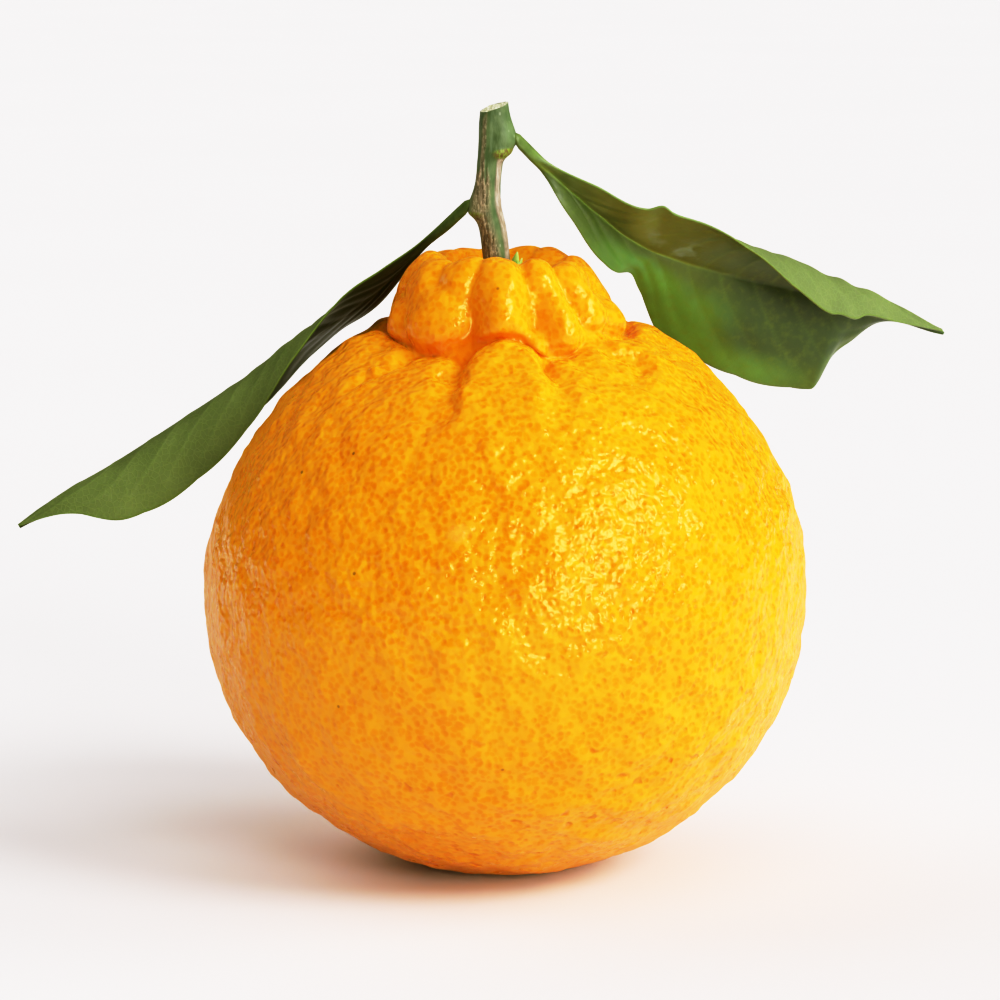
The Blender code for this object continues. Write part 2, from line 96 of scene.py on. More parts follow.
# Length, height, height lost on the knob, and seed.
PEBBLES = [
    (4.6, 0.12, 0.07, 11),
    (2.8, 0.06, 0.03, 12),
]

LOBE_FALL = 2.5
LOBE_CREASE = 4
LOBE_END_POWER = 2.2
LOBE_LEAST_RADIUS = 8
DEEPEST_CREASE = -1.9
FURROW_BULGE = 0.4
CREASE_BLURS = 14
CREASE_DEPTH = 0.8
# Painted shade along the deep fold of the neck: distance up from the neck, half length, angle and half
# angle.
NECK_FOLD = (0.4, 1.6, -20, 34)

# Radius, height, axis x, then how far the knob's lobes, the shoulder's furrows and the neck's
# dips apply. What a row leaves out is 0, here and in the leaves' margins.
PROFILE = [
    (0, 0),
    (5, 0),
    (REST_RADIUS, 0),
    (13.4, 0.9),
    (17.4, 2.25),
    (21.6, 4),
    (25.6, 6.35),
    (29.3, 9.1),
    (32.8, 12.15),
    (35.9, 15.4),
    (38.6, 19.1),
    (40.9, 23.1),
    (42.7, 27.5),
    (44.1, 32.2),
    (44.8, 37.2),
    (45.1, 42.2, 0.05),
    (44.8, 47.2, 0.15),
    (43.8, 52, 0.25),
    (42.3, 56.7, 0.35),
    (40.2, 61.1, 0.45, 0, 0.03),
    (37.7, 65.4, 0.5, 0, 0.08),
    (34.9, 69.3, 0.55, 0, 0.18),
    (31.9, 72.8, 0.6, 0, 0.34),
    (29, 75.8, 0.65, 0, 0.55, 0.05),
    (26.1, 78.2, 0.65, 0, 0.78, 0.15),
    (23.5, 80.1, 0.65, 0, 0.94, 0.3),
    (21.4, 81.3, 0.6, 0, 1, 0.5),
    (19.6, 81.7, 0.55, 0, 0.9, 0.7),
    (18.4, 81.3, 0.5, 0.05, 0.7, 0.9),
    (17.7, 80.9, 0.4, 0.15, 0.45, 1),
    (17.5, 80.6, 0.35, 0.3, 0.2, 1),
    (17.7, 80.9, 0.3, 0.6, 0, 0.9),
    (17.9, 81.8, 0.3, 0.9, 0, 0.7),
    (17.6, 83.2, 0.3, 1, 0, 0.4),
    (16.8, 85, 0.25, 1, 0, 0.2),
    (15.8, 86.8, 0.25, 1),
    (14.7, 88.5, 0.2, 1),
    (13.6, 90.1, 0.15, 1),
    (12.4, 91.4, 0.1, 1),
    (11, 92.2, 0, 0.95),
    (9.6, 92.2, -0.1, 0.85),
    (8.4, 91.5, -0.3, 0.7),
    (7.4, 90.4, -0.5, 0.5),
    (6.6, 89.1, -0.6, 0.3),
    (6, 87.7, -0.7, 0.12),
    (5.6, 86.5, -0.8),
    (5.1, 85.8, -0.9),
    (3, 85.6, -0.9),
    (0, 85.6, -0.9),
]

# Angle, distance up from the neck, half width, half length, lean in degrees a millimetre and
# height of each lobe.
KNOB_LOBES = [
    (-2, 7.8, 5, 8.6, 0.3, 2.1),
    (22, 10.6, 4, 7.2, -1, 1),
    (31, 3.4, 4.2, 5.6, -0.8, 1.3),
    (50, 7.4, 4.4, 8.2, -0.6, 0.7),
    (72, 2.2, 5, 4.8, -0.5, 0.3),
    (60, 12.5, 5, 5.5, 0, -0.5),
    (-30, 11.4, 4.4, 5.6, 0, 0.9),
    (-58, 9.6, 6.2, 7, 0, 1),
    (-43, 4.2, 6.6, 6.8, 0, 1.1),
    (-70, 3.2, 6, 6, 0, 0.8),
    (-88, 10.5, 6, 9.5, 0, 0.9),
    (92, 8.5, 4.8, 9, 0, -0.9),
    (117, 7.5, 4.8, 10.5, 0, 0.2),
    (140, 10, 4.4, 9.5, 0, 0.7),
    (148, 3, 4.6, 5.4, 0, 0.4),
    (164, 8, 5.2, 10.5, 0, 1.1),
    (190, 9.5, 5, 9, 0, 0.7),
    (199, 3.2, 4.8, 5.2, 0, 0.4),
    (214, 8, 4.8, 10.5, 0, 0.9),
    (237, 9.5, 5, 9, 0, 0.6),
    (258, 6.5, 5, 9.5, 0, 0.6),
]

# Small knobs of the peel, and pits in it: angle, distance up from the neck, half width, half
# length and height.
WARTS = [
    (14.5, 0.8, 2, 1.9, 2.3),
    (11.5, 12.5, 0.9, 3.2, -0.9),
    (-17.5, 3, 1.4, 3.8, -1),
    (12.5, 5.5, 1, 4, -0.6),
    (37, 4, 1, 4.5, -0.6),
    (-52, -8, 1, 1, 1.1),
    (-36, -6.5, 2.6, 1.8, 0.3),
]

# Angle, depth in millimetres, half width in degrees and share of the full length of each furrow.
SHOULDER_FURROWS = [
    (-142, 0.7, 7, 0.7),
    (-98, 1, 8, 0.9),
    (-50, 0.9, 4.5, 0.6),
    (-20, 1.9, 4.5, 1),
    (16, 1.3, 4.5, 0.7),
    (47, 0.9, 5, 0.6),
    (79, 0.8, 8, 0.8),
    (116, 1.2, 7, 1),
    (152, 0.6, 7, 0.65),
    (186, 0.9, 6, 0.9),
]

# Angle, rise in millimetres and half width in degrees of each rise or dip in the shoulder's crest.
CREST_RISES = [
    (0, -2.6, 75),
    (-2, 0.5, 20),
    (-42, -1.4, 20),
    (36, -1, 16),
]

# The same in the neck.
NECK_RISES = [
    (-45, -1.2, 24),
    (-1, 1.4, 13),
    (19, -1.4, 8),
    (30, -1, 7),
    (49, 1.2, 9),
    (75, -0.4, 12),
    (-90, -0.4, 20),
    (130, -0.3, 18),
    (200, 0.4, 20),
]

# Calyx
CALYX_SEGMENTS = 200
CALYX_BOTTOM = 86
SEPALS = 5
FIRST_SEPAL = 46
SOCKET_RADIUS = 2.4
SOCKET_FLOOR = 86.7
RIM_HEIGHT = 88
CALYX_X = -0.9
# Radius and height above the base of each ring of the foot.
CALYX_FOOT = [
    (3.6, 0),
    (4.2, 0.2),
    (4.3, 0.5),
    (3.9, 1.2),
]
SOCKET_LIP = 0.6
SEPAL_HEIGHT = 4.4
SEPAL_WALL = 0.55
SEPAL_RINGS = 8
SEPAL_FIRST_RING = 0.25
SEPAL_FLARE = 0.3
SEPAL_FLARE_POWER = 1.6
SEPAL_TIP_OUTSIDE = 0.25
SEPAL_TIP_INSIDE = 0.15
SEPAL_TIP_POWER = 6
SEPAL_SHORTEST = 0.3
SEPAL_SHARPNESS = 1.2
SEPAL_ROUNDNESS = 0.7

# Stem: centre x, centre y, height, radius.
STEM_SIDES = 128
STEM_RINGS = 260
STEM_PATH = [
    (-0.9, 0, 87.05, 1.95),
    (-1.1, 0, 90, 1.98),
    (-1.4, 0, 93, 2.02),
    (-1.8, 0.1, 96, 2.02),
    (-2.4, 0.1, 99, 1.9),
    (-2.6, 0.2, 102, 1.86),
    (-2.4, 0.2, 105, 1.88),
    (-2.1, 0.2, 108, 1.95),
    (-1.9, 0.3, 111.5, 1.98),
    (-1.7, 0.3, 114, 2),
]
STEM_CUT_RISE_X = 0.32
STEM_CUT_RISE_Y = 0.15
STEM_CUT_FROM = 110
# Ridges along the stem: how many, how far they turn in a millimetre, and height.
STEM_RIDGES = [
    (3, 0.12, 0.05),
    (5, -0.3, 0.04),
]
# Azimuth, height, how far it stands out, half length upwards, half length downwards.
STEM_BOSSES = [
    (5, 109, 1.8, 3.4, 1.6),
    (172, 99.1, 1.2, 2.4, 1.8),
]
STEM_BUDS = [
    (-22, 107.2, 0.7, 0.75, 0.75),
    (200, 98.2, 0.35, 0.6, 0.6),
]
CUT_RINGS = 12
CUT_CENTRE = 0.04
CUT_ROUGHNESS = 0.09
CUT_GRAIN = 0.7
CUT_GRAIN_SQUASH = 0.3
CUT_EDGE = 8
CUT_SEED = 23
# Grain runs along the bark, so its heights are squashed before it is read.
GRAIN_RADIUS = 2
GRAIN_SQUASH = 0.22
GRAIN_LENGTH = 0.55
GRAIN_SEED = 21
SWAY_LENGTH = 2.4
SWAY_SEED = 22
# Azimuth, sway in degrees, half width in degrees, top and fade below it in millimetres, raggedness
# of the top, steepness and threshold of the edge, and raggedness of the edge.
BARK_ZONES = {
    "cork": (231, 8, 47, 106.5, 4, 0.25, 2.2, 0.6, 0),
    "tan": (-32, 6, 25, 108, 1.5, 0, 2.4, 0.7, 0.15),
    "old": (236, 3, 11, 114.4, 2, 0, 1.8, 0.5, 0.3),
}
BARK_GRAIN = 0.05
GREEN_GRAIN_SHARE = 0.25
CORK_RISE = 0.07
TAN_RISE = 0.08
TAN_RISE_TOP = 108
TAN_RISE_FADE = 3
BUD_GAIN = 2.2

# Leaves
# Half thicknesses of the blade and of its midrib.
BLADE_HALF = 0.24
MIDRIB_HALF = 0.5
LEAF_STATIONS = 240
HALF_BLADE_STRIPS = 36
EDGE_TAPER = 0.45
RIDGE_HALF_WIDTH = 0.75
RIDGE_THINNING = 0.75
RIDGE_BELOW = 1.5
RIDGE_GROOVE = 0.1
CRENATION = 0.3
CRENATIONS = 9
CRENATE_FROM = 0.2
CRENATE_FADE = 0.1
CRENATE_REACH = 3
UPPER_PHASE = 0.4
LOWER_PHASE = 1.3
LEAST_ROUNDING = 0.02
PETIOLE_SHARE = 0.03
PETIOLE_BLEND = 0.07
PETIOLE_OVERLAP = 1.9
PETIOLE_TAPER = 0.35

# Each station holds its place along the leaf, then x, y, z.
RIGHT_MIDRIB = [
    (0, 2.05, 0.45, 108.9),
    (0.07, 5.4, 2, 105.5),
    (0.19, 12.3, 5, 99.1),
    (0.32, 20.4, 9, 92.7),
    (0.44, 28.4, 13, 89.4),
    (0.56, 36, 17, 87),
    (0.67, 43.9, 21, 84.9),
    (0.78, 51.6, 25, 82.6),
    (0.9, 59.9, 30, 80.2),
    (1, 69.2, 36, 76.2),
]

# A margin station may also hold the bulge of its half blade out of the flat.
RIGHT_UPPER_MARGIN = [
    (0, 2.1, -0.1, 109.85),
    (0.07, 5.7, 1.3, 106.2),
    (0.19, 13.7, 1.5, 102.1),
    (0.32, 21.6, 2, 98.8, 0, -0.5, 0.5),
    (0.345, 23.5, 2.2, 99.1, 0, -0.6, 0.6),
    (0.37, 24.9, 2.3, 98.1, 0, -0.7, 0.7),
    (0.44, 29.4, 3, 96.6, 0, -1, 1),
    (0.56, 37.5, 5, 91.8, 0, -1, 2.6),
    (0.67, 44.6, 10, 85.6, 0, 0, 4.4),
    (0.76, 50.2, 14.8, 81.5, 0, 0, 4.3),
    (0.78, 51.2, 16, 81.4, 0, 0, 4.2),
    (0.82, 53.9, 18.6, 80.4, 0, 0, 3.6),
    (0.85, 55.6, 20.6, 80.7, 0, 0, 3.1),
    (0.9, 59.5, 24, 79.6, 0, 0, 2.2),
    (1, 69.3, 35.9, 76.4),
]
RIGHT_LOWER_MARGIN = [
    (0, 2.05, 1, 107.95),
    (0.07, 5.1, 2.5, 104.6),
    (0.19, 9.7, 3.2, 97.5),
    (0.32, 16.8, 7.5, 88.8),
    (0.355, 19.1, 10.2, 88.4, 0, -0.2),
    (0.385, 20.2, 12.8, 85.8, 0, -0.5),
    (0.412, 21.4, 15.4, 82.9, 0, -0.8),
    (0.44, 23, 18, 79.3, 0, -1),
    (0.56, 31.4, 22, 73.1, 0, -1.5),
    (0.67, 39.2, 25, 69.8, 0, -1.5),
    (0.765, 46.9, 26.9, 68.6, 0, -1),
    (0.78, 47.9, 27, 68.7, 0, -1),
    (0.8, 48.9, 27.4, 69.8, 0, -0.8),
    (0.83, 50.9, 28.4, 73.3, 0, -0.6),
    (0.865, 54.3, 29.6, 75.9, 0, -0.3),
    (0.9, 57.6, 31, 78.2),
    (1, 69.1, 36.1, 76),
]

LEFT_MIDRIB = [
    (0, -5.9, 0.6, 99.1),
    (0.09, -12.2, 5.3, 93),
    (0.2, -18.9, 9, 86.1),
    (0.31, -25.8, 11, 80.8),
    (0.42, -32.7, 12, 76.1),
    (0.55, -41.6, 12, 70.3),
    (0.67, -50.8, 12, 64.3),
    (0.8, -59.9, 11, 58.6),
    (0.91, -67.8, 10, 54.1),
    (1, -74, 9, 49.7),
]
LEFT_NEAR_MARGIN = [
    (0, -5.95, -0.1, 99.8),
    (0.09, -12.4, 4.6, 93.7),
    (0.2, -18.1, 4, 89.7),
    (0.31, -24.7, 3, 85, 0, 0, 0.3),
    (0.42, -31.6, 2, 76.3, 0, -0.5, 2.2),
    (0.55, -39.3, 4, 64.7, 0, -2, 3),
    (0.67, -47.7, 6, 56.4, 0, -2, 3.2),
    (0.8, -57.6, 6, 51.4, 0, -1.6, 2.4),
    (0.91, -67.2, 7, 52, 0, -0.6, 1),
    (1, -74, 8.8, 49.8),
]
LEFT_FAR_MARGIN = [
    (0, -5.85, 1.3, 98.4),
    (0.09, -12, 6.3, 92.4),
    (0.2, -19.1, 13, 83.4),
    (0.31, -25.6, 19, 78.4),
    (0.42, -31.4, 22.5, 72.9, 0, 0, 0.5),
    (0.55, -37.7, 24, 66.1, 0, 0, 0.8),
    (0.67, -49, 24, 58, 0, 0, 1),
    (0.8, -58.8, 20, 53.3, 0, 0, 0.6),
    (0.91, -67.4, 14, 51.8),
    (1, -74, 9.2, 49.6),
]
RIGHT_PETIOLE_RADIUS = 1.1
LEFT_PETIOLE_RADIUS = 1
# Gloss of each leaf, and how much painted shade darkens the left one's upper face.
RIGHT_LEAF_SHINE = 0.4
LEFT_LEAF_SHINE = 0.06
LEFT_LEAF_PAINTED_SHADE = 0.85

# Where the lateral veins leave the midrib, as shares of the leaf's length, on each half.
UPPER_VEINS = [0.1, 0.16, 0.23, 0.31, 0.385, 0.47, 0.55, 0.63, 0.71, 0.79, 0.87, 0.95]
LOWER_VEINS = [0.12, 0.19, 0.27, 0.345, 0.43, 0.51, 0.59, 0.67, 0.75, 0.83, 0.91, 0.98]
VEIN_SWEEP = 0.2
VEIN_CURVE = 1.25
VEIN_THINNING = 0.75
VEIN_HALF_WIDTH = 0.34
VEIN_BED_HALF_WIDTH = 0.9
VEIN_BED_BELOW = 0.07
VEIN_BED_GROOVE = 0.05
LEAF_LENGTH = 78
PUCKER_HEIGHT = 0.09
PUCKER_MIDDLE = 0.4
PUCKER_FULLNESS = 0.7

# Materials, with lengths in millimetres. A noise's row: length, detail, roughness, distortion and
# squash upwards. A layer's row: share, colour, then the fields it follows, each with the values
# where it starts and is full, and what it gives there. A height's row: size, then its fields.
PEEL_NOISES = {
    "broad": (24, 2),
    "patch": (7, 3, 0.55),
    "pebble": (3, 0),
    "small": (1.6, 0),
    "grit": (0.9, 0),
    "gloss": (1.1, 2),
}
PEEL_WARP_LENGTH = 1.9
GLAND_SIZE = 1
GLAND_WARP = 0.9
GLAND_DOT = (0.42, 0.12)
GLAND_DEPTH = (0, 1, 0.2, 1)
GLAND_KNOB_LOSS = 0.45
PIT_SIZE = 3.4
PIT_WARP = 2.4
PIT_DENT = (0.26, 0.06)
PIT_PICK = (0.42, 0.6)
PIT_LEAST = 0.25
SPECK_SIZE = 7
LOW_HEIGHTS = (52, 16)
CALM_LOW = 0.45
CALM_KNOB = 0.4
PEEL_BASE = (0.76, 0.235, 0.003)
PEEL_LAYERS = [
    (1, (0.78, 0.27, 0.005), ("broad", 0.35, 0.68)),
    (0.3, (0.8, 0.31, 0.008), ("patch", 0.42, 0.7)),
    (0.5, (0.84, 0.36, 0.022), ("gland", 0.36, 0.62)),
    (0.4, (0.72, 0.175, 0.001), ("dot",), ("off_knob",)),
    (0.6, (0.68, 0.14, 0.001), ("dent",)),
    # Painted shade: the creases and the neck's fold darker and redder.
    (0.6, (0.74, 0.15, 0), ("crease", 0.35, 1)),
]
# Colour, centre, half sizes and strength of each mark on the peel.
PEEL_MARKS = [
    ((0.93, 0.42, 0.1), (-6.5, -44, 57.5), (2.2, 4, 1.6), 0.35),
    ((0.95, 0.34, 0.12), (34.5, -25, 62), (1.6, 3, 3), 0.45),
    ((0.62, 0.22, 0.05), (24, -34, 13.5), (2.2, 3, 1.4), 0.4),
    ((0.8, 0.52, 0.3), (-9.5, -12.5, 90), (1, 2.5, 1.3), 0.6),
    ((0.55, 0.24, 0.06), (-3, -10.5, 91.5), (0.9, 2, 1.1), 0.5),
]
MARK_NOISE = (1.6, 3)
MARK_RAGGED = 1.6
MARK_EDGE = (1.15, 0.55)
PEEL_FLECKS = [(0.75, (0.14, 0.1, 0.01), ("speck", 0.05, 0.025), ("speck_pick", 0.5, 0.55))]
PEEL_HEIGHTS = [
    (0.26, "pebble", "calm"),
    (0.26, "small", "calm"),
    (0.26, "grit", "calm"),
    (-0.05, "dot"),
    (-0.2, "dent"),
]
PEEL_ROUGHNESS = (0.3, 0.7, 0.13, 0.2)
GRAZE_BLEND = 0.35
GRAZE_EDGE = (0.35, 0.95)
GRAZE_ROUGHNESS = 0.3
PEEL_GLOSS = 0.36
PEEL_GLOSS_COLOUR = (1, 0.9, 0.5)
# How much light goes into each material, how far each colour of it goes, and the unit for that.
PEEL_DEPTH = (0.6, (1, 0.5, 0.15), 0.0013)
LEAF_DEPTH = (0.15, (0.5, 1, 0.15), 0.0012)
CALYX_DEPTH = (0.2, (0.5, 1, 0.2), 0.001)

LEAF_NOISES = {
    "broad": (11, 3, 0.55),
    "fine": (1.3, 3, 0.6),
    # Spots of the painted sheen on the upper face.
    "painted_sheen_spots": (5, 3, 0.6),
    "wave": (4.5, 2),
}
LEAF_NET_SIZE = 0.9
LEAF_NET = (0.1, 0.02)
OIL_SIZE = 0.55
OIL_DOT = (0.3, 0.1)
OLIVE_LIMITS = [("along", 0.5, 0.25), ("broad", 0.35, 0.6, 0.3, 0.9)]
# Where painted light brightens the lower half of the blade.
PAINTED_LIGHT_LIMITS = [("along", 0.2, 0.38), ("along", 0.8, 0.6), ("broad", 0.3, 0.7, 0.6, 1)]
# Where the painted sheen lies on the upper half.
PAINTED_SHEEN_LIMITS = [("half", 0.02, 0.12), ("half", 0.5, 0.3), ("along", 0.3, 0.36), ("along", 0.52, 0.44)]
UPPER_BASE = (0.062, 0.1, 0.028)
# Mottling, the olive stretch of the upper half and a bluer stretch of it painted against the fruit's
# orange light, painted light on a stretch of the lower half, painted shadow beside the midrib, painted
# sheen, fine spots, veins and midrib.
UPPER_LAYERS = [
    (1, (0.095, 0.138, 0.04), ("broad", 0.35, 0.7)),
    (1, (0.175, 0.245, 0.11), ("half", -0.1, 0.25), ("olive",)),
    # Painted cool light: a bluer stretch of the upper half, cancelling the orange light the fruit throws
    # on it.
    (0.6, (0.06, 0.12, 0.062), ("half", -0.05, 0.2), ("along", 0.3, 0.5)),
    # Painted light: a brighter green stretch of the lower half.
    (1, (0.125, 0.295, 0.075), ("half", -0.1, -0.5), ("lit",)),
    # Painted shadow of the folded-over upper half, beside the midrib.
    (0.9, (0.048, 0.078, 0.034), ("half", 0.2, -0.1), ("half", -0.9, -0.6), ("along", 0.48, 0.62)),
    # Painted sheen: pale spots standing in for reflections on the gloss.
    (0.45, (0.22, 0.36, 0.38), ("painted_sheen_spots", 0.48, 0.68), ("painted_sheen",)),
    (0.35, (0.13, 0.19, 0.035), ("fine", 0.45, 0.75)),
    (0.3, (0.14, 0.23, 0.05), ("vein",)),
    (0.75, (0.22, 0.33, 0.09), ("rib", 0.4, 0.9), ("along", 0.62, 0.4)),
]
# Near-black colour of the painted shade over the left leaf's upper face.
PAINTED_SHADE_COLOUR = (0.014, 0.012, 0.004)
UNDER_BASE = (0.115, 0.15, 0.06)
UNDER_LAYERS = [
    (1, (0.142, 0.182, 0.074), ("broad", 0.35, 0.7)),
    (0.25, (0.19, 0.24, 0.09), ("net",)),
    (0.3, (0.09, 0.13, 0.035), ("oil", 0.25, 0.12)),
    (0.45, (0.2, 0.26, 0.1), ("vein",)),
    (0.6, (0.22, 0.29, 0.1), ("rib", 0.3, 0.85)),
]
UNDER_EDGE = (0.3, 0.7)
STALK_BASE = (0.055, 0.088, 0.026)
STALK_LAYERS = [(1, (0.095, 0.135, 0.045), ("fine", 0.3, 0.7))]
STALK_SHARE = 0.8
LEAF_EDGE_LAYERS = [(0.3, (0.16, 0.26, 0.04), ("edge", 0.2, 0.9))]
LEAF_HEIGHTS = [
    (0.05, "fine"),
    (0.02, "net", "under"),
    (0.1, "wave"),
    (-0.006, "oil_dot"),
]
LEAF_ROUGHNESS = (0.3, 0.7, 0.3, 0.56)
FINE_ROUGHNESS = 0.12

BARK_NOISES = {
    "long": (0.5, 4, 0.65, 0.2, 0.22),
    "fleck": (0.35, 3, 0.6, 0, 0.5),
    "soft": (2.2, 2),
    "wood": (0.3, 3),
    "pore": (0.25, 3),
}
BARK_DOT_SIZE = 0.7
BARK_DOT_SQUASH = 0.6
BARK_COLOURS = {
    "green": (
        (0.052, 0.092, 0.036),
        (1, (0.094, 0.138, 0.062), ("soft", 0.35, 0.65)),
        (0.35, (0.15, 0.19, 0.1), ("long", 0.5, 0.75)),
        (0.4, (0.34, 0.37, 0.27), ("dots", 0.3, 0.12), ("dot_pick", 0.8, 0.85)),
    ),
    "brown": (
        (0.08, 0.062, 0.038),
        (1, (0.21, 0.165, 0.11), ("long", 0.36, 0.62)),
        (0.6, (0.4, 0.33, 0.22), ("fleck", 0.5, 0.6)),
    ),
    "sand": ((0.21, 0.17, 0.12), (1, (0.38, 0.33, 0.265), ("long", 0.35, 0.65))),
    "bud": ((0.17, 0.23, 0.035), (1, (0.11, 0.08, 0.02), ("fleck", 0.4, 0.6))),
    "wood": ((0.42, 0.42, 0.26), (1, (0.74, 0.74, 0.58), ("wood", 0.4, 0.65))),
}
OLD_SHARE = 0.75
BOSS_SHARE = 0.4
BOSS_COLOUR = (0.125, 0.185, 0.085)
BUD_EDGE = (0.2, 0.8)
BARK_HEIGHTS = [
    (0.22, "woody", "long"),
    (0.05, "fleck"),
    (0.12, "cut", "pore"),
]
GREEN_WOODY = 0.15
BARK_ROUGHNESS = 0.5
WOODY_ROUGHNESS = 0.2
BARK_GLOSS = 0.45

CALYX_NOISES = {"streak": (0.45, 3, 0.6, 0, 0.3)}
CALYX_BASE = (0.22, 0.36, 0.06)
CALYX_LAYERS = [
    (1, (0.36, 0.5, 0.12), ("streak", 0.35, 0.65)),
    (1, (0.48, 0.58, 0.2), ("tip", 0.5, 1, 0, 0.6)),
]
CALYX_HEIGHTS = [(0.1, "streak")]
CALYX_ROUGHNESS = 0.55
CALYX_GLOSS = 0.5

FLOOR_NOISES = {"patch": (220, 2), "grain": (3, 4, 0.6)}
FLOOR_LAYERS = [(1, tuple(FLOOR_SHADE * c for c in FLOOR_COLOUR), ("patch", 0.3, 0.7))]
FLOOR_HEIGHTS = [(0.03, "grain")]
FLOOR_ROUGHNESS = 0.75
FLOOR_GLOSS = 0.25


def through_stations(places, values, at):
    """A smooth curve through the stations, read at each place."""
    places = np.asarray(places, float)
    values = np.asarray(values, float)
    slopes = np.gradient(values, places, axis=0)
    left = np.clip(np.searchsorted(places, at, side="right") - 1, 0, len(places) - 2)
    step = (places[left + 1] - places[left])[:, None]
    t = (at - places[left])[:, None] / step
    start = (2 * t**3 - 3 * t**2 + 1) * values[left] + (t**3 - 2 * t**2 + t) * slopes[left] * step
    end = (3 * t**2 - 2 * t**3) * values[left + 1] + (t**3 - t**2) * slopes[left + 1] * step
    return start + end


def filled(rows, length):
    """The rows as an array, each one filled up with zeros."""
    return np.array([(*row, *[0] * (length - len(row))) for row in rows], float)


def turned(angle, centre):
    """The angle from the centre in degrees, between -180 and 180."""
    return (angle - centre + 180) % 360 - 180


def held(value):
    """The value, held between 0 and 1."""
    return np.clip(value, 0, 1)


def bell(value, centre, width):
    """One at the centre, falling softly to nothing some widths away."""
    return np.exp(-(((value - centre) / width) ** 2))


def swellings(points, length, seed):
    """A field of soft swellings of that length, from waves in seeded directions."""
    random = np.random.default_rng(seed)
    total = np.zeros(points.shape[:-1])
    for _ in range(WAVES):
        direction = random.normal(size=3)
        direction /= np.linalg.norm(direction)
        wave = 2 * math.pi / (length * random.uniform(0.7, 1.5))
        total += np.sin(points @ direction * wave + random.uniform(0, 2 * math.pi))
    return total / math.sqrt(WAVES)


def add_mesh(name, points, faces, material, attributes):
    """A smooth mesh in the frame, in metres, with a value of each attribute at every point."""
    mesh = bpy.data.meshes.new(name)
    mesh.from_pydata((points * MM).tolist(), [], faces)
    mesh.polygons.foreach_set("use_smooth", [True] * len(mesh.polygons))
    for label, values in attributes.items():
        layer = mesh.attributes.new(label, "FLOAT", "POINT")
        layer.data.foreach_set("value", np.ascontiguousarray(values, np.float32))
    mesh.update()
    made = bpy.data.objects.new(name, mesh)
    mesh.materials.append(material)
    bpy.context.scene.collection.objects.link(made)
    return made


def rings_with_poles(grid, low_pole, high_pole, fields):
    """Quads of rings stacked between two poles, with the fields carried to the poles."""
    rings, around = grid.shape[:2]
    points = np.concatenate([grid.reshape(-1, 3), [low_pole, high_pole]])
    low = rings * around
    faces = []
    for i in range(around):
        j = (i + 1) % around
        faces.append((low, j, i))
        faces.append((low + 1, (rings - 1) * around + i, (rings - 1) * around + j))
        for k in range(rings - 1):
            a, b = k * around + i, k * around + j
            faces.append((a, b, b + around, a + around))
    carried = {
        label: np.concatenate([field.reshape(-1), [field[0].mean(), field[-1].mean()]])
        for label, field in fields.items()
    }
    return points, faces, carried


# Peel


def knob_lobes(angle, climb, radius):
    """How far the knob stands out at each angle and distance up: domes that meet in creases."""
    total = np.exp(LOBE_CREASE * DEEPEST_CREASE) * np.ones(np.broadcast(angle, climb).shape)
    for centre, middle, half_width, half_length, lean, height in KNOB_LOBES:
        away = turned(angle, centre + lean * (climb - middle))
        across = np.abs(np.radians(away) * np.maximum(radius, LOBE_LEAST_RADIUS) / half_width)
        along = np.abs((climb - middle) / half_length)
        total += np.exp(LOBE_CREASE * (height - LOBE_FALL * (across**2 + along**LOBE_END_POWER)))
    return np.log(total) / LOBE_CREASE


def warts(angle, climb, radius):
    """How far the small knobs and pits stand out of the peel."""
    total = np.zeros(np.broadcast(angle, climb).shape)
    for centre, middle, half_width, half_length, height in WARTS:
        across = np.radians(turned(angle, centre)) * radius / half_width
        along = (climb - middle) / half_length
        total += height * np.exp(-(across**2) - along**2)
    return total


def shoulder_furrows(angle, strength):
    """How far the shoulder stands out where the furrows' strength is that of each row."""
    rise = FURROW_BULGE * strength * np.ones_like(angle)
    for centre, depth, width, length in SHOULDER_FURROWS:
        reach = held((strength - 1 + length) / length)
        rise = rise - (depth + FURROW_BULGE) * reach * bell(turned(angle, centre), 0, width)
    return rise


def rises(angle, rows):
    """How far the rows of rises and dips lift the peel at each angle."""
    total = np.zeros_like(angle)
    for centre, height, width in rows:
        total += height * bell(turned(angle, centre), 0, width)
    return total


def profile_curve(at):
    return through_stations(np.arange(len(PROFILE)), filled(PROFILE, 6), at)


def ring_places():
    """Where the peel's rings lie along the profile, closer together on the knob."""
    last = len(PROFILE) - 1
    fine = np.linspace(0, last, PROFILE_SAMPLES)
    curve = profile_curve(fine)
    step = np.append(0, np.linalg.norm(np.diff(curve[:, :2], axis=0), axis=1))
    length = np.cumsum(step)
    starts, ends = np.interp([KNOB_FROM_STATION, KNOB_TO_STATION], fine, length)
    body = np.linspace(0, starts, BODY_RINGS, endpoint=False)
    knob = np.linspace(starts, ends, KNOB_RINGS, endpoint=False)
    hollow = np.linspace(ends, length[-1], HOLLOW_RINGS)
    return np.interp(np.concatenate([body, knob, hollow]), length, fine)


def blurred(field, times):
    """The field averaged with its neighbours around and along, over and over."""
    for _ in range(times):
        around = (np.roll(field, 1, axis=1) + field + np.roll(field, -1, axis=1)) / 3
        padded = np.concatenate([around[:1], around, around[-1:]])
        field = (padded[:-2] + padded[1:-1] + padded[2:]) / 3
    return field


def peel_relief(points, at, knob):
    """Pebbles and shallow waves of the skin, in millimetres."""
    off_rest = held((at - REST_STATION) / REST_FADE)[:, None]
    off_hollow = held((HOLLOW_STATION - at) / HOLLOW_FADE)[:, None]
    relief = 0
    for length, height, lost, seed in PEBBLES:
        relief = relief + (height - lost * knob) * swellings(points, length, seed)
    return off_rest * off_hollow * relief


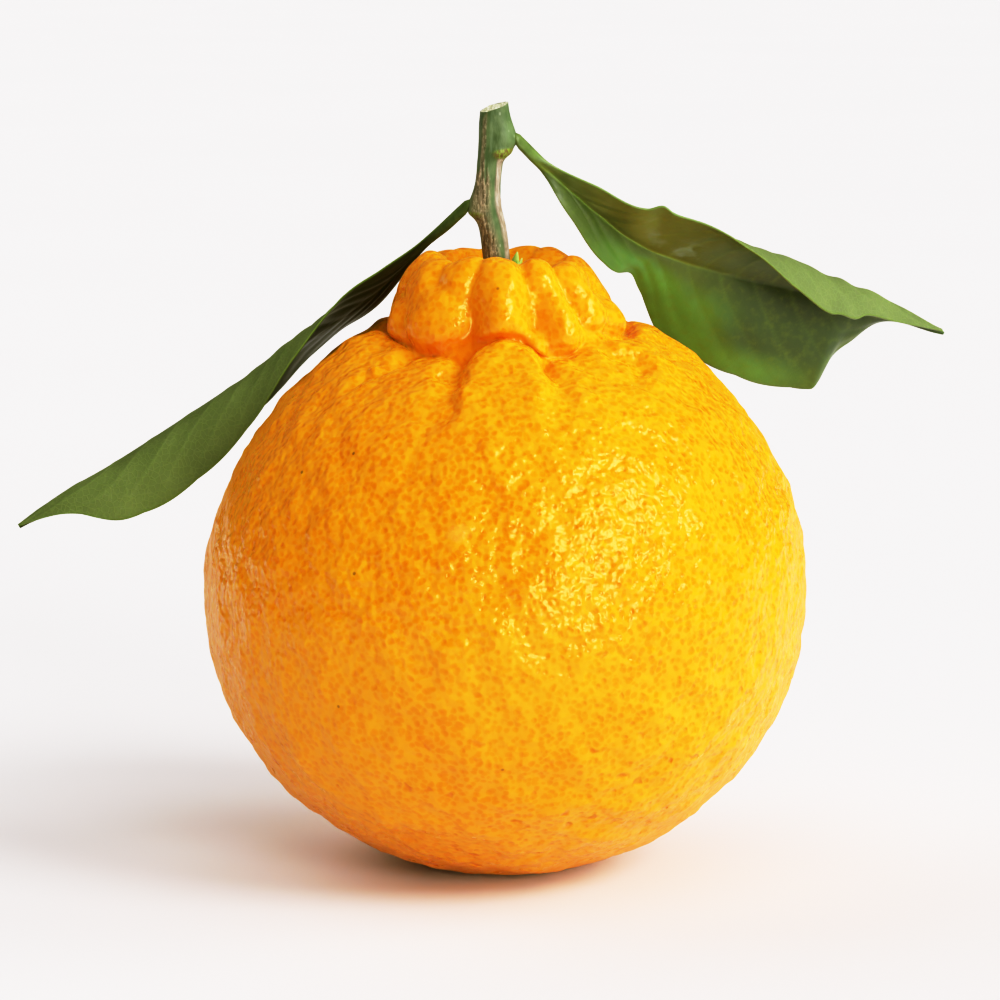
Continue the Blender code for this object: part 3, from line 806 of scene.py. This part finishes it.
def peel_lumps(points, at, radius, knob):
    """Broad unevenness of the fruit, none of it on the flat spot."""
    settle = held((radius - REST_RADIUS) / REST_SETTLE)
    settle = settle * held((at[:, None] - REST_STATION) / REST_FADE)
    share = np.where(at[:, None] < KNOB_TOP_STATION, settle, LUMP_KNOB_SHARE * knob)
    return LUMP_HEIGHT * swellings(points, LUMP_LENGTH, LUMP_SEED) * share


def peel_creases(outward, climb, angle):
    """How much painted shade each point gets: as much as it lies in a crease, lower than the peel around
    it, or in the neck's fold.
    """
    hollow = blurred(outward, CREASE_BLURS) - outward
    middle, half_length, centre, half_angle = NECK_FOLD
    fold = bell(climb, middle, half_length) * bell(turned(angle, centre), 0, half_angle)
    return held(held(hollow / CREASE_DEPTH) + fold)


def profile_at(at):
    """The profile and its outward direction at each place, smoothed over some stations."""
    last = len(PROFILE) - 1
    before = profile_curve(np.clip(at - NORMAL_REACH, 0, last))
    after = profile_curve(np.clip(at + NORMAL_REACH, 0, last))
    along = (after - before)[:, :2]
    along /= np.linalg.norm(along, axis=1)[:, None]
    return profile_curve(at), along[:, 1, None], -along[:, 0, None]


def make_peel(material):
    at = ring_places()
    curve, normal_r, normal_z = profile_at(at)
    steps = np.linalg.norm(np.diff(curve[:, :2], axis=0), axis=1)
    climb = np.append(0, np.cumsum(steps))
    climb = (climb - np.interp(NECK_STATION, at, climb))[:, None]
    angle = (np.arange(PEEL_SEGMENTS) * 360 / PEEL_SEGMENTS - 180)[None]
    theta = np.radians(angle - 90)
    radius, height, axis, knob, furrow, neck = (curve[:, i, None] for i in range(6))
    plain = np.stack([radius * np.cos(theta), radius * np.sin(theta), height + 0 * theta], axis=-1)
    turn = angle + TURN_WARP * swellings(plain, WARP_LENGTH, TURN_SEED)
    climbed = climb + CLIMB_WARP * swellings(plain, WARP_LENGTH, CLIMB_SEED)
    outward = knob * knob_lobes(turn, climbed, radius) + shoulder_furrows(turn, furrow)
    outward += warts(angle, climb, radius)
    r = radius + outward * normal_r
    z = height + outward * normal_z + neck * rises(turn, NECK_RISES) + furrow * rises(turn, CREST_RISES)
    points = np.stack([r * np.cos(theta), r * np.sin(theta), z], axis=-1)
    swell = peel_lumps(points, at, radius, knob) + peel_relief(points, at, knob)
    points[..., 0] += axis + swell * normal_r * np.cos(theta)
    points[..., 1] += swell * normal_r * np.sin(theta)
    points[..., 2] += swell * normal_z
    fields = {
        # Where painted shade darkens the creases.
        "crease": peel_creases(outward, climb, angle)[1:-1],
        "knob": (knob * np.ones_like(angle))[1:-1],
    }
    mesh = rings_with_poles(points[1:-1], points[0, 0], points[-1, 0], fields)
    return add_mesh("peel_surface", mesh[0], mesh[1], material, mesh[2])


# Leaves


def half_blade(midrib, rows, at, across, phase):
    """A half blade from the midrib to its crenate margin, as a grid of points."""
    rows = filled(rows, 7)
    both = through_stations(rows[:, 0], rows[:, 1:], at)
    margin, bulge = both[:, :3], both[:, 3:]
    free = held((at - CRENATE_FROM) / CRENATE_FADE) * held((1 - at) / CRENATE_FADE)
    tooth = np.abs(np.sin(math.pi * CRENATIONS * at + phase)) - 0.5
    reach = np.maximum(np.linalg.norm(margin - midrib, axis=1), CRENATE_REACH)
    margin = midrib + (margin - midrib) * (1 + free * CRENATION * tooth / reach)[:, None]
    share = across[None, :, None]
    blade = midrib[:, None] + (margin - midrib)[:, None] * share
    return blade + bulge[:, None] * 4 * share * (1 - share)


def vein_roots(at, signed):
    """Where on the midrib the vein through each point of the blade would start."""
    return at[:, None] - VEIN_SWEEP * np.abs(signed)[None] ** VEIN_CURVE


def vein_field(at, signed, width):
    """How much of a vein is at each point of the blade."""
    root = vein_roots(at, signed)
    total = np.zeros(root.shape)
    for side, starts in ((1, UPPER_VEINS), (-1, LOWER_VEINS)):
        starts = np.array(starts)
        phase = np.interp(root, starts, np.arange(len(starts)), left=-0.5, right=len(starts) - 0.5)
        gap = np.interp(phase, np.arange(len(starts) - 1) + 0.5, np.diff(starts))
        away = np.abs(phase - np.round(phase)) * gap * LEAF_LENGTH
        vein = bell(away, 0, width) * (1 - VEIN_THINNING * np.abs(signed))
        total += np.where(np.sign(signed)[None] == side, vein, 0)
    return total


def pucker_field(at, signed):
    """Soft pillows of the blade between its veins."""
    root = vein_roots(at, signed)
    total = np.zeros(root.shape)
    across = np.sin(math.pi * held(np.abs(signed))) ** PUCKER_FULLNESS
    for side, starts in ((1, UPPER_VEINS), (-1, LOWER_VEINS)):
        phase = np.interp(root, starts, np.arange(len(starts)))
        pillow = np.sin(math.pi * phase) ** 2 * across
        total += np.where(np.sign(signed)[None] == side, pillow, 0)
    return total


def leaf_middle(at, across, midrib_rows, upper_rows, lower_rows):
    """The midrib, the surface midway between the leaf's faces, and its upper half's width."""
    rows = np.array(midrib_rows, float)
    midrib = through_stations(rows[:, 0], rows[:, 1:], at)
    upper = half_blade(midrib, upper_rows, at, across, UPPER_PHASE)
    lower = half_blade(midrib, lower_rows, at, across[1:], LOWER_PHASE)
    middle = np.concatenate([lower[:, ::-1], upper], axis=1)
    return midrib, middle, np.linalg.norm(upper[:, -1] - midrib, axis=1)[:, None]


def leaf_sides(at, signed, blend, ridge, petiole_radius, turned_over):
    """How far the leaf's top and bottom lie from its middle, a round stalk blending into the blade."""
    stalk = petiole_radius * np.sqrt(np.clip(1 - signed**2, LEAST_ROUNDING, 1))[None] * (1 - blend)
    thin = BLADE_HALF * (1 - EDGE_TAPER * held(np.abs(signed) * 4 - 3))[None]
    bed = vein_field(at, signed, VEIN_BED_HALF_WIDTH)
    below = RIDGE_BELOW * (MIDRIB_HALF - BLADE_HALF) * ridge + VEIN_BED_BELOW * bed
    groove = RIDGE_GROOVE * ridge + VEIN_BED_GROOVE * bed
    rise = PUCKER_HEIGHT * (pucker_field(at, signed) - PUCKER_MIDDLE) * blend
    upper = stalk + (thin - groove) * blend + rise
    lower = stalk + (thin + below) * blend - rise
    return (lower, upper) if turned_over else (upper, lower)


def make_leaf(name, rows, petiole_radius, turned_over, material):
    at = np.linspace(0, 1, LEAF_STATIONS)
    across = np.linspace(0, 1, HALF_BLADE_STRIPS + 1)
    signed = np.concatenate([-across[:0:-1], across])
    midrib, middle, half_width = leaf_middle(at, across, *rows)
    normal = np.cross(np.gradient(middle, axis=0), np.gradient(middle, axis=1))
    normal /= np.linalg.norm(normal, axis=-1)[..., None]
    blend = held((at - PETIOLE_SHARE) / PETIOLE_BLEND)[:, None]
    blend = blend * blend * (3 - 2 * blend)
    ridge = bell(signed[None] * half_width, 0, RIDGE_HALF_WIDTH) * (1 - RIDGE_THINNING * at[:, None])
    upside, downside = leaf_sides(at, signed, blend, ridge, petiole_radius, turned_over)
    top = middle + normal * upside[..., None]
    bottom = middle - normal * downside[..., None]
    loop = np.concatenate([top, bottom[:, ::-1]], axis=1)
    outward = (midrib[1] - midrib[0]) / np.linalg.norm(midrib[1] - midrib[0])
    start = midrib[0] + PETIOLE_TAPER * (loop[0] - midrib[0]) - PETIOLE_OVERLAP * outward
    loop = np.concatenate([start[None], loop])

    def both_faces(field, other=None):
        field = field * np.ones_like(ridge)
        rows = np.concatenate([field, (field if other is None else other)[:, ::-1]], axis=1)
        return np.concatenate([rows[:1], rows]).reshape(-1)

    lower_first = np.full_like(ridge, float(turned_over))
    fields = {
        "under": both_faces(lower_first, 1 - lower_first),
        "vein": both_faces(vein_field(at, signed, VEIN_HALF_WIDTH) * blend),
        "rib": both_faces(np.maximum(ridge, 1 - blend)),
        "edge": both_faces(held(np.abs(signed) * 30 - 29)[None]),
        "along": both_faces(at[:, None]),
        "stalk": both_faces(1 - blend),
        "half": both_faces(signed[None]),
    }
    return add_mesh(name, loop.reshape(-1, 3), leaf_faces(loop), material, fields)


def leaf_faces(loop):
    """Quads of the closed leaf, capped at both ends."""
    stations, around = loop.shape[:2]
    faces = []
    for k in range(stations - 1):
        for i in range(around):
            j = (i + 1) % around
            a, b = k * around + i, k * around + j
            faces.append((a, a + around, b + around, b))
    strips = around // 2
    for end, flip in ((0, False), (stations - 1, True)):
        first = end * around
        for i in range(strips - 1):
            face = (first + i, first + i + 1, first + around - 2 - i, first + around - 1 - i)
            faces.append(face[::-1] if flip else face)
    return faces


# Stem


def stem_swelling(theta, height, rows):
    """How far leaf bosses or buds stand out of the bark."""
    total = np.zeros(np.broadcast(theta, height).shape)
    for azimuth, centre, out, up, down in rows:
        length = np.where(height > centre, up, down)
        facing = np.maximum(0, np.cos(theta - math.radians(azimuth)))
        total += out * facing**2 * bell(height, centre, length)
    return total


def bark_zone(name, degrees, level, grain, sway):
    """How much of one kind of bark is at each point."""
    azimuth, sways, half_width, top, fade, ragged_top, gain, threshold, ragged_edge = BARK_ZONES[name]
    share = bell(turned(degrees, azimuth + sways * sway), 0, half_width)
    share = share * held((top - level) / fade + ragged_top * grain)
    return held(gain * share - threshold + ragged_edge * grain)


def cut_face(ring, centre):
    """The rough end of the twig, from its edge to near its middle."""
    inward = np.linspace(1, CUT_CENTRE, CUT_RINGS + 1)[1:, None, None]
    face = centre + (ring - centre) * inward
    rough = swellings(face * (1, 1, CUT_GRAIN_SQUASH), CUT_GRAIN, CUT_SEED)
    face[..., 2] += CUT_ROUGHNESS * rough * held((1 - inward[..., 0]) * CUT_EDGE)
    return face


def make_stem(material):
    path = np.array(STEM_PATH)
    heights = np.linspace(path[0, 2], path[-1, 2], STEM_RINGS)
    line = through_stations(path[:, 2], path, heights)
    theta, level = np.meshgrid(np.arange(STEM_SIDES) * 2 * math.pi / STEM_SIDES, heights)
    bosses = stem_swelling(theta, level, STEM_BOSSES)
    buds = stem_swelling(theta, level, STEM_BUDS)
    degrees = np.degrees(theta)
    grain_x, grain_y = GRAIN_RADIUS * np.cos(theta), GRAIN_RADIUS * np.sin(theta)
    grain_at = np.stack([grain_x, grain_y, GRAIN_SQUASH * level], axis=-1)
    grain = swellings(grain_at, GRAIN_LENGTH, GRAIN_SEED)
    sway = swellings(grain_at, SWAY_LENGTH, SWAY_SEED)
    zones = {name: bark_zone(name, degrees, level, grain, sway) for name in BARK_ZONES}
    cork, tan = zones["cork"], zones["tan"]
    radius = line[:, 3, None] + bosses + buds + CORK_RISE * cork
    radius += BARK_GRAIN * grain * held(cork + tan + GREEN_GRAIN_SHARE)
    radius += TAN_RISE * tan * held((TAN_RISE_TOP - level) / TAN_RISE_FADE)
    for count, turn, height in STEM_RIDGES:
        radius += height * np.cos(count * theta + turn * level)
    across, depth = radius * np.cos(theta), radius * np.sin(theta)
    share = held((level - STEM_CUT_FROM) / (path[-1, 2] - STEM_CUT_FROM)) ** 2
    z = level + share * (STEM_CUT_RISE_X * across + STEM_CUT_RISE_Y * depth)
    grid = np.stack([line[:, 0, None] + across, line[:, 1, None] + depth, z], axis=-1)
    grid = np.concatenate([grid, cut_face(grid[-1], line[-1, :3])])

    def with_cut(field, on_cut=0.0):
        return np.concatenate([field, np.full((CUT_RINGS, STEM_SIDES), on_cut)])

    fields = {name: with_cut(zone) for name, zone in zones.items()}
    fields["bud"] = with_cut(held(buds * BUD_GAIN))
    fields["cut"] = with_cut(np.zeros_like(cork), 1.0)
    fields["boss"] = with_cut(held(bosses))
    mesh = rings_with_poles(grid, line[0, :3], grid[-1].mean(axis=0), fields)
    return add_mesh("stem_twig", mesh[0], mesh[1], material, mesh[2])


# Calyx


def sepal_height(angle):
    """How far the calyx's edge rises above its rim: pointed sepals with low gaps between them."""
    share = turned(angle * SEPALS, FIRST_SEPAL * SEPALS) / 180
    tall = 1 - SEPAL_SHORTEST * np.abs(turned(angle, FIRST_SEPAL)) / 180
    return SEPAL_HEIGHT * tall * held(1 - np.abs(share) * SEPAL_SHARPNESS) ** SEPAL_ROUNDNESS


def make_calyx(material):
    angle = np.arange(CALYX_SEGMENTS) * 360 / CALYX_SEGMENTS
    rise = sepal_height(angle)
    flat = np.ones_like(angle)
    shape = [(radius * flat, (CALYX_BOTTOM + height) * flat) for radius, height in CALYX_FOOT]
    shares = np.linspace(SEPAL_FIRST_RING, 1, SEPAL_RINGS)
    outside = [(share, SOCKET_RADIUS + SEPAL_WALL, -SEPAL_TIP_OUTSIDE) for share in shares]
    inside = [(share, SOCKET_RADIUS, SEPAL_TIP_INSIDE) for share in shares[::-1]]
    for share, radius, tip in outside + inside:
        radius = radius + SEPAL_FLARE * rise * share**SEPAL_FLARE_POWER + tip * share**SEPAL_TIP_POWER
        shape.append((radius, RIM_HEIGHT + share * rise))
    for height in (SOCKET_LIP, 0):
        shape.append((SOCKET_RADIUS * flat, (SOCKET_FLOOR + height) * flat))
    theta = np.radians(angle)
    rings = [(CALYX_X + r * np.cos(theta), r * np.sin(theta), z) for r, z in shape]
    grid = np.array([np.stack(ring, axis=-1) for ring in rings])
    tip = np.array([(z - RIM_HEIGHT) / SEPAL_HEIGHT for _, z in shape])
    low_pole = (CALYX_X, 0, CALYX_BOTTOM)
    high_pole = (CALYX_X, 0, SOCKET_FLOOR)
    mesh = rings_with_poles(grid, low_pole, high_pole, {"tip": held(tip)})
    return add_mesh("calyx_cup", mesh[0], mesh[1], material, mesh[2])


# Materials


class Surface:
    """A material's nodes. Inputs may be numbers, colours or the outputs of other nodes."""

    def __init__(self, name, noises, from_mesh=()):
        self.material = bpy.data.materials.new(name)
        self.material.use_nodes = True
        self.tree = self.material.node_tree
        self.shader = self.tree.nodes["Principled BSDF"]
        place = self.tree.nodes.new("ShaderNodeTexCoord").outputs["Object"]
        self.place = self.vector("SCALE", place, 1 / MM)
        self.fields = {label: self.noise(*row) for label, row in noises.items()}
        for label in from_mesh:
            self.fields[label] = self.node("ShaderNodeAttribute", attribute_name=label).outputs["Fac"]

    def set(self, node, **values):
        for label, value in values.items():
            self.put(node.inputs[label.replace("_", " ")], value)

    def put(self, target, value):
        if isinstance(value, bpy.types.NodeSocket):
            self.tree.links.new(value, target)
        elif isinstance(value, (tuple, list)) and len(value) == 3 and target.type == "RGBA":
            target.default_value = (*value, 1)
        else:
            target.default_value = value

    def node(self, kind, **settings):
        made = self.tree.nodes.new(kind)
        for label, value in settings.items():
            setattr(made, label, value)
        return made

    def vector(self, operation, a, b):
        made = self.node("ShaderNodeVectorMath", operation=operation)
        self.put(made.inputs[0], a)
        self.put(made.inputs["Scale"] if operation == "SCALE" else made.inputs[1], b)
        return made.outputs[0]

    def math(self, operation, a, b):
        made = self.node("ShaderNodeMath", operation=operation)
        self.put(made.inputs[0], a)
        self.put(made.inputs[1], b)
        return made.outputs[0]

    def add(self, *values):
        return reduce(lambda a, b: self.math("ADD", a, b), values)

    def times(self, *values):
        return reduce(lambda a, b: self.math("MULTIPLY", a, b), values)

    def ramp(self, value, low, high, to_low=0.0, to_high=1.0):
        made = self.node("ShaderNodeMapRange", interpolation_type="SMOOTHSTEP")
        self.set(made, Value=value, From_Min=low, From_Max=high, To_Min=to_low, To_Max=to_high)
        return made.outputs[0]

    def mix(self, share, first, second):
        made = self.node("ShaderNodeMix", data_type="RGBA")
        self.put(made.inputs[0], share)
        self.put(made.inputs[6], first)
        self.put(made.inputs[7], second)
        return made.outputs[2]

    def squashed(self, squash):
        return self.vector("MULTIPLY", self.place, (1, 1, squash))

    def noise(self, length, detail, roughness=0.5, distortion=0.0, squash=None):
        made = self.node("ShaderNodeTexNoise")
        where = self.place if squash is None else self.squashed(squash)
        self.set(made, Vector=where, Scale=1 / length, Detail=detail)
        self.set(made, Roughness=roughness, Distortion=distortion)
        return made.outputs[0]

    def cells(self, size, where=None):
        """Distance to the nearest cell's middle, as a share of the size, and its random number."""
        made = self.node("ShaderNodeTexVoronoi")
        self.set(made, Vector=self.place if where is None else where, Scale=1 / size)
        split = self.node("ShaderNodeSeparateColor")
        self.put(split.inputs[0], made.outputs["Color"])
        return made.outputs["Distance"], split.outputs[0]

    def blot(self, centre, size):
        """A patch of the surface around a point, with a ragged edge."""
        away = self.vector("SUBTRACT", self.place, centre)
        made = self.node("ShaderNodeVectorMath", operation="LENGTH")
        self.put(made.inputs[0], self.vector("DIVIDE", away, size))
        ragged = self.math("SUBTRACT", self.noise(*MARK_NOISE), 0.5)
        return self.ramp(self.add(made.outputs["Value"], self.times(ragged, MARK_RAGGED)), *MARK_EDGE)

    def followed(self, limits):
        """The product of the named fields, each one between the limits given for it."""
        found = [(self.fields[name], span) for name, *span in limits]
        return self.times(*[self.ramp(field, *span) if span else field for field, span in found])

    def layered(self, base, layers):
        """The base colour under the layers, each as strong as its share times its fields."""
        for share, colour, *limits in layers:
            base = self.mix(self.times(self.followed(limits), share), base, colour)
        return base

    def bump(self, heights):
        """A normal from the sum of the heights in millimetres."""
        parts = [self.times(*[self.fields[name] for name in names], size) for size, *names in heights]
        made = self.node("ShaderNodeBump")
        self.set(made, Height=self.add(*parts), Distance=MM, Strength=1.0)
        return made.outputs[0]

    def finish(self, colour, roughness, heights, gloss, depth=None):
        self.set(self.shader, Base_Color=colour, Roughness=roughness, Normal=self.bump(heights))
        self.set(self.shader, Specular_IOR_Level=gloss)
        if depth:
            share, reach, unit = depth
            self.set(self.shader, Subsurface_Weight=share, Subsurface_Radius=reach, Subsurface_Scale=unit)
        return self.material


def add_peel_fields(s):
    """The fields of the peel's glands and pits, and of where it is calmer."""
    fields = s.fields
    warp = s.node("ShaderNodeTexNoise")
    s.set(warp, Vector=s.place, Scale=1 / PEEL_WARP_LENGTH, Detail=1.0)
    shift = s.vector("SUBTRACT", warp.outputs["Color"], (0.5, 0.5, 0.5))
    glands = s.vector("ADD", s.place, s.vector("SCALE", shift, GLAND_WARP))
    fields["gland"], gland_pick = s.cells(GLAND_SIZE, glands)
    pit, pit_pick = s.cells(PIT_SIZE, s.vector("ADD", s.place, s.vector("SCALE", shift, PIT_WARP)))
    fields["speck"], fields["speck_pick"] = s.cells(SPECK_SIZE)
    place = s.node("ShaderNodeSeparateXYZ")
    s.put(place.inputs[0], s.place)
    low = s.ramp(place.outputs["Z"], *LOW_HEIGHTS)
    fields["dot"] = s.times(s.ramp(fields["gland"], *GLAND_DOT), s.ramp(gland_pick, *GLAND_DEPTH))
    deeper_low = s.add(PIT_LEAST, s.times(low, 1 - PIT_LEAST))
    fields["dent"] = s.times(s.ramp(pit, *PIT_DENT), s.ramp(pit_pick, *PIT_PICK), deeper_low)
    fields["off_knob"] = s.add(1, s.times(fields["knob"], -GLAND_KNOB_LOSS))
    fields["calm"] = s.add(1, s.times(low, -CALM_LOW), s.times(fields["knob"], -CALM_KNOB))


def peel_material():
    s = Surface("peel", PEEL_NOISES, ["crease", "knob"])
    add_peel_fields(s)
    colour = s.layered(PEEL_BASE, PEEL_LAYERS)
    for mark, centre, size, strength in PEEL_MARKS:
        colour = s.mix(s.times(s.blot(centre, size), strength), colour, mark)
    colour = s.layered(colour, PEEL_FLECKS)
    graze = s.node("ShaderNodeLayerWeight")
    graze.inputs["Blend"].default_value = GRAZE_BLEND
    grazed = s.times(s.ramp(graze.outputs["Facing"], *GRAZE_EDGE), GRAZE_ROUGHNESS)
    rough = s.add(s.ramp(s.fields["gloss"], *PEEL_ROUGHNESS), grazed)
    s.set(s.shader, Specular_Tint=PEEL_GLOSS_COLOUR)
    return s.finish(colour, rough, PEEL_HEIGHTS, PEEL_GLOSS, PEEL_DEPTH)


def leaf_material(name, shine, painted_shade):
    s = Surface(name, LEAF_NOISES, ["under", "vein", "rib", "edge", "along", "stalk", "half"])
    fields = s.fields
    net = s.node("ShaderNodeTexVoronoi", feature="DISTANCE_TO_EDGE")
    s.set(net, Vector=s.place, Scale=1 / LEAF_NET_SIZE)
    fields["net"] = s.ramp(net.outputs["Distance"], *LEAF_NET)
    fields["oil"], _ = s.cells(OIL_SIZE)
    fields["oil_dot"] = s.ramp(fields["oil"], *OIL_DOT)
    fields["olive"] = s.followed(OLIVE_LIMITS)
    # Mask of the painted light on the lower half.
    fields["lit"] = s.followed(PAINTED_LIGHT_LIMITS)
    # Mask of the painted sheen.
    fields["painted_sheen"] = s.followed(PAINTED_SHEEN_LIMITS)
    # The upper face, darkened towards near-black by painted shade as far as the given share.
    upper = s.mix(painted_shade, s.layered(UPPER_BASE, UPPER_LAYERS), PAINTED_SHADE_COLOUR)
    under = s.layered(UNDER_BASE, UNDER_LAYERS)
    colour = s.mix(s.ramp(fields["under"], *UNDER_EDGE), upper, under)
    colour = s.layered(colour, LEAF_EDGE_LAYERS)
    stalk = s.layered(STALK_BASE, STALK_LAYERS)
    colour = s.mix(s.times(fields["stalk"], STALK_SHARE), colour, stalk)
    rough = s.add(s.ramp(fields["under"], *LEAF_ROUGHNESS), s.times(fields["fine"], FINE_ROUGHNESS))
    return s.finish(colour, rough, LEAF_HEIGHTS, shine, LEAF_DEPTH)


def stem_material():
    s = Surface("bark", BARK_NOISES, ["cork", "tan", "old", "bud", "cut", "boss"])
    fields = s.fields
    fields["dots"], fields["dot_pick"] = s.cells(BARK_DOT_SIZE, s.squashed(BARK_DOT_SQUASH))
    made = {name: s.layered(base, layers) for name, (base, *layers) in BARK_COLOURS.items()}
    zones = [
        (OLD_SHARE, made["brown"], ("old",)),
        (1.0, made["brown"], ("cork",)),
        (1.0, made["sand"], ("tan",)),
        (BOSS_SHARE, BOSS_COLOUR, ("boss",)),
        (1.0, made["bud"], ("bud", *BUD_EDGE)),
        (1.0, made["wood"], ("cut",)),
    ]
    colour = s.layered(made["green"], zones)
    fields["woody"] = s.add(fields["cork"], fields["tan"], GREEN_WOODY)
    rough = s.add(BARK_ROUGHNESS, s.times(s.add(fields["cork"], fields["tan"]), WOODY_ROUGHNESS))
    return s.finish(colour, rough, BARK_HEIGHTS, BARK_GLOSS)


def calyx_material():
    s = Surface("calyx", CALYX_NOISES, ["tip"])
    colour = s.layered(CALYX_BASE, CALYX_LAYERS)
    return s.finish(colour, CALYX_ROUGHNESS, CALYX_HEIGHTS, CALYX_GLOSS, CALYX_DEPTH)


# Surroundings


def floor_material():
    s = Surface("floor", FLOOR_NOISES)
    return s.finish(s.layered(FLOOR_COLOUR, FLOOR_LAYERS), FLOOR_ROUGHNESS, FLOOR_HEIGHTS, FLOOR_GLOSS)


def add_floor():
    mesh = bpy.data.meshes.new("floor")
    turns = [2 * math.pi * i / FLOOR_SIDES for i in range(FLOOR_SIDES)]
    points = [(FLOOR_RADIUS * math.cos(t), FLOOR_RADIUS * math.sin(t), -FLOOR_DROP * MM) for t in turns]
    mesh.from_pydata(points, [], [tuple(range(FLOOR_SIDES))])
    floor = bpy.data.objects.new("floor", mesh)
    mesh.materials.append(floor_material())
    bpy.context.scene.collection.objects.link(floor)


def towards(azimuth, elevation):
    """The direction of an azimuth from the front, rising towards +X, and an elevation."""
    a, e = math.radians(azimuth), math.radians(elevation)
    return Vector((math.sin(a) * math.cos(e), -math.cos(a) * math.cos(e), math.sin(e)))


def add_lights():
    for name, (azimuth, elevation, spread, strength) in LIGHTS.items():
        light = bpy.data.lights.new(name, "SUN")
        light.angle = math.radians(spread)
        light.energy = strength
        light.color = LAMP_COLOUR
        lamp = bpy.data.objects.new(name, light)
        way = towards(azimuth, elevation)
        lamp.location = way
        lamp.visible_glossy = name.startswith("window")
        lamp.rotation_euler = way.to_track_quat("Z", "Y").to_euler()
        bpy.context.scene.collection.objects.link(lamp)


def add_surroundings():
    world = bpy.data.worlds.new("surroundings")
    world.use_nodes = True
    sky = world.node_tree.nodes["Background"]
    sky.inputs["Color"].default_value = (*SURROUNDINGS, 1)
    sky.inputs["Strength"].default_value = SURROUNDING_LIGHT
    bpy.context.scene.world = world


def set_curve():
    view = bpy.context.scene.view_settings
    view.view_transform = "Standard"
    view.use_curve_mapping = True
    mapping = view.curve_mapping
    mapping.white_level = (CURVE_WHITE,) * 3
    points = mapping.curves[COMBINED_CHANNEL].points
    points[0].location = CURVE[0]
    points[1].location = (CURVE[-1][0] / CURVE_WHITE, CURVE[-1][1])
    for light, shown in CURVE[1:-1]:
        points.new(light / CURVE_WHITE, shown)
    for light, shown in BLUE_CURVE:
        mapping.curves[BLUE_CHANNEL].points.new(light, shown)
    mapping.update()


def add_camera():
    lens = bpy.data.cameras.new("camera")
    lens.sensor_width = SENSOR_WIDTH
    lens.lens = SENSOR_WIDTH * CAMERA_DISTANCE / FRAME_WIDTH
    lens.clip_start = CLIP_NEAR
    lens.clip_end = CLIP_FAR
    camera = bpy.data.objects.new("camera", lens)
    back = towards(0, CAMERA_ELEVATION)
    camera.location = (Vector(CAMERA_AIM) + back * CAMERA_DISTANCE) * MM
    camera.rotation_euler = back.to_track_quat("Z", "Y").to_euler()
    bpy.context.scene.collection.objects.link(camera)
    bpy.context.scene.camera = camera


def place(piece, node, slot):
    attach(piece, "root")
    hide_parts(node)


def add_pieces():
    place(make_peel(peel_material()), "fruit", "peel")
    place(make_calyx(calyx_material()), "calyx", "calyx")
    place(make_stem(stem_material()), "stem", "bark")
    rows = (RIGHT_MIDRIB, RIGHT_UPPER_MARGIN, RIGHT_LOWER_MARGIN)
    skin = leaf_material("leaf_shiny", RIGHT_LEAF_SHINE, 0.0)
    place(make_leaf("leaf_right_blade", rows, RIGHT_PETIOLE_RADIUS, False, skin), "leaf_right", "leaf")
    rows = (LEFT_MIDRIB, LEFT_NEAR_MARGIN, LEFT_FAR_MARGIN)
    # The left leaf's upper face carries near-black painted shade.
    skin = leaf_material("leaf_matte", LEFT_LEAF_SHINE, LEFT_LEAF_PAINTED_SHADE)
    place(make_leaf("leaf_left_blade", rows, LEFT_PETIOLE_RADIUS, True, skin), "leaf_left", "leaf")


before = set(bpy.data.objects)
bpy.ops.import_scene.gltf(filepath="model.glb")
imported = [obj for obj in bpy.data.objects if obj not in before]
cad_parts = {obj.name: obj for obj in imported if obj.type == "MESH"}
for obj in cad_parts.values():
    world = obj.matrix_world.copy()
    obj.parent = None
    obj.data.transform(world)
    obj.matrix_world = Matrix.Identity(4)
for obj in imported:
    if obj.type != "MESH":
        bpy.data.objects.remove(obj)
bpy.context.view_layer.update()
add_pieces()
add_floor()
add_lights()
add_surroundings()
set_curve()
add_camera()
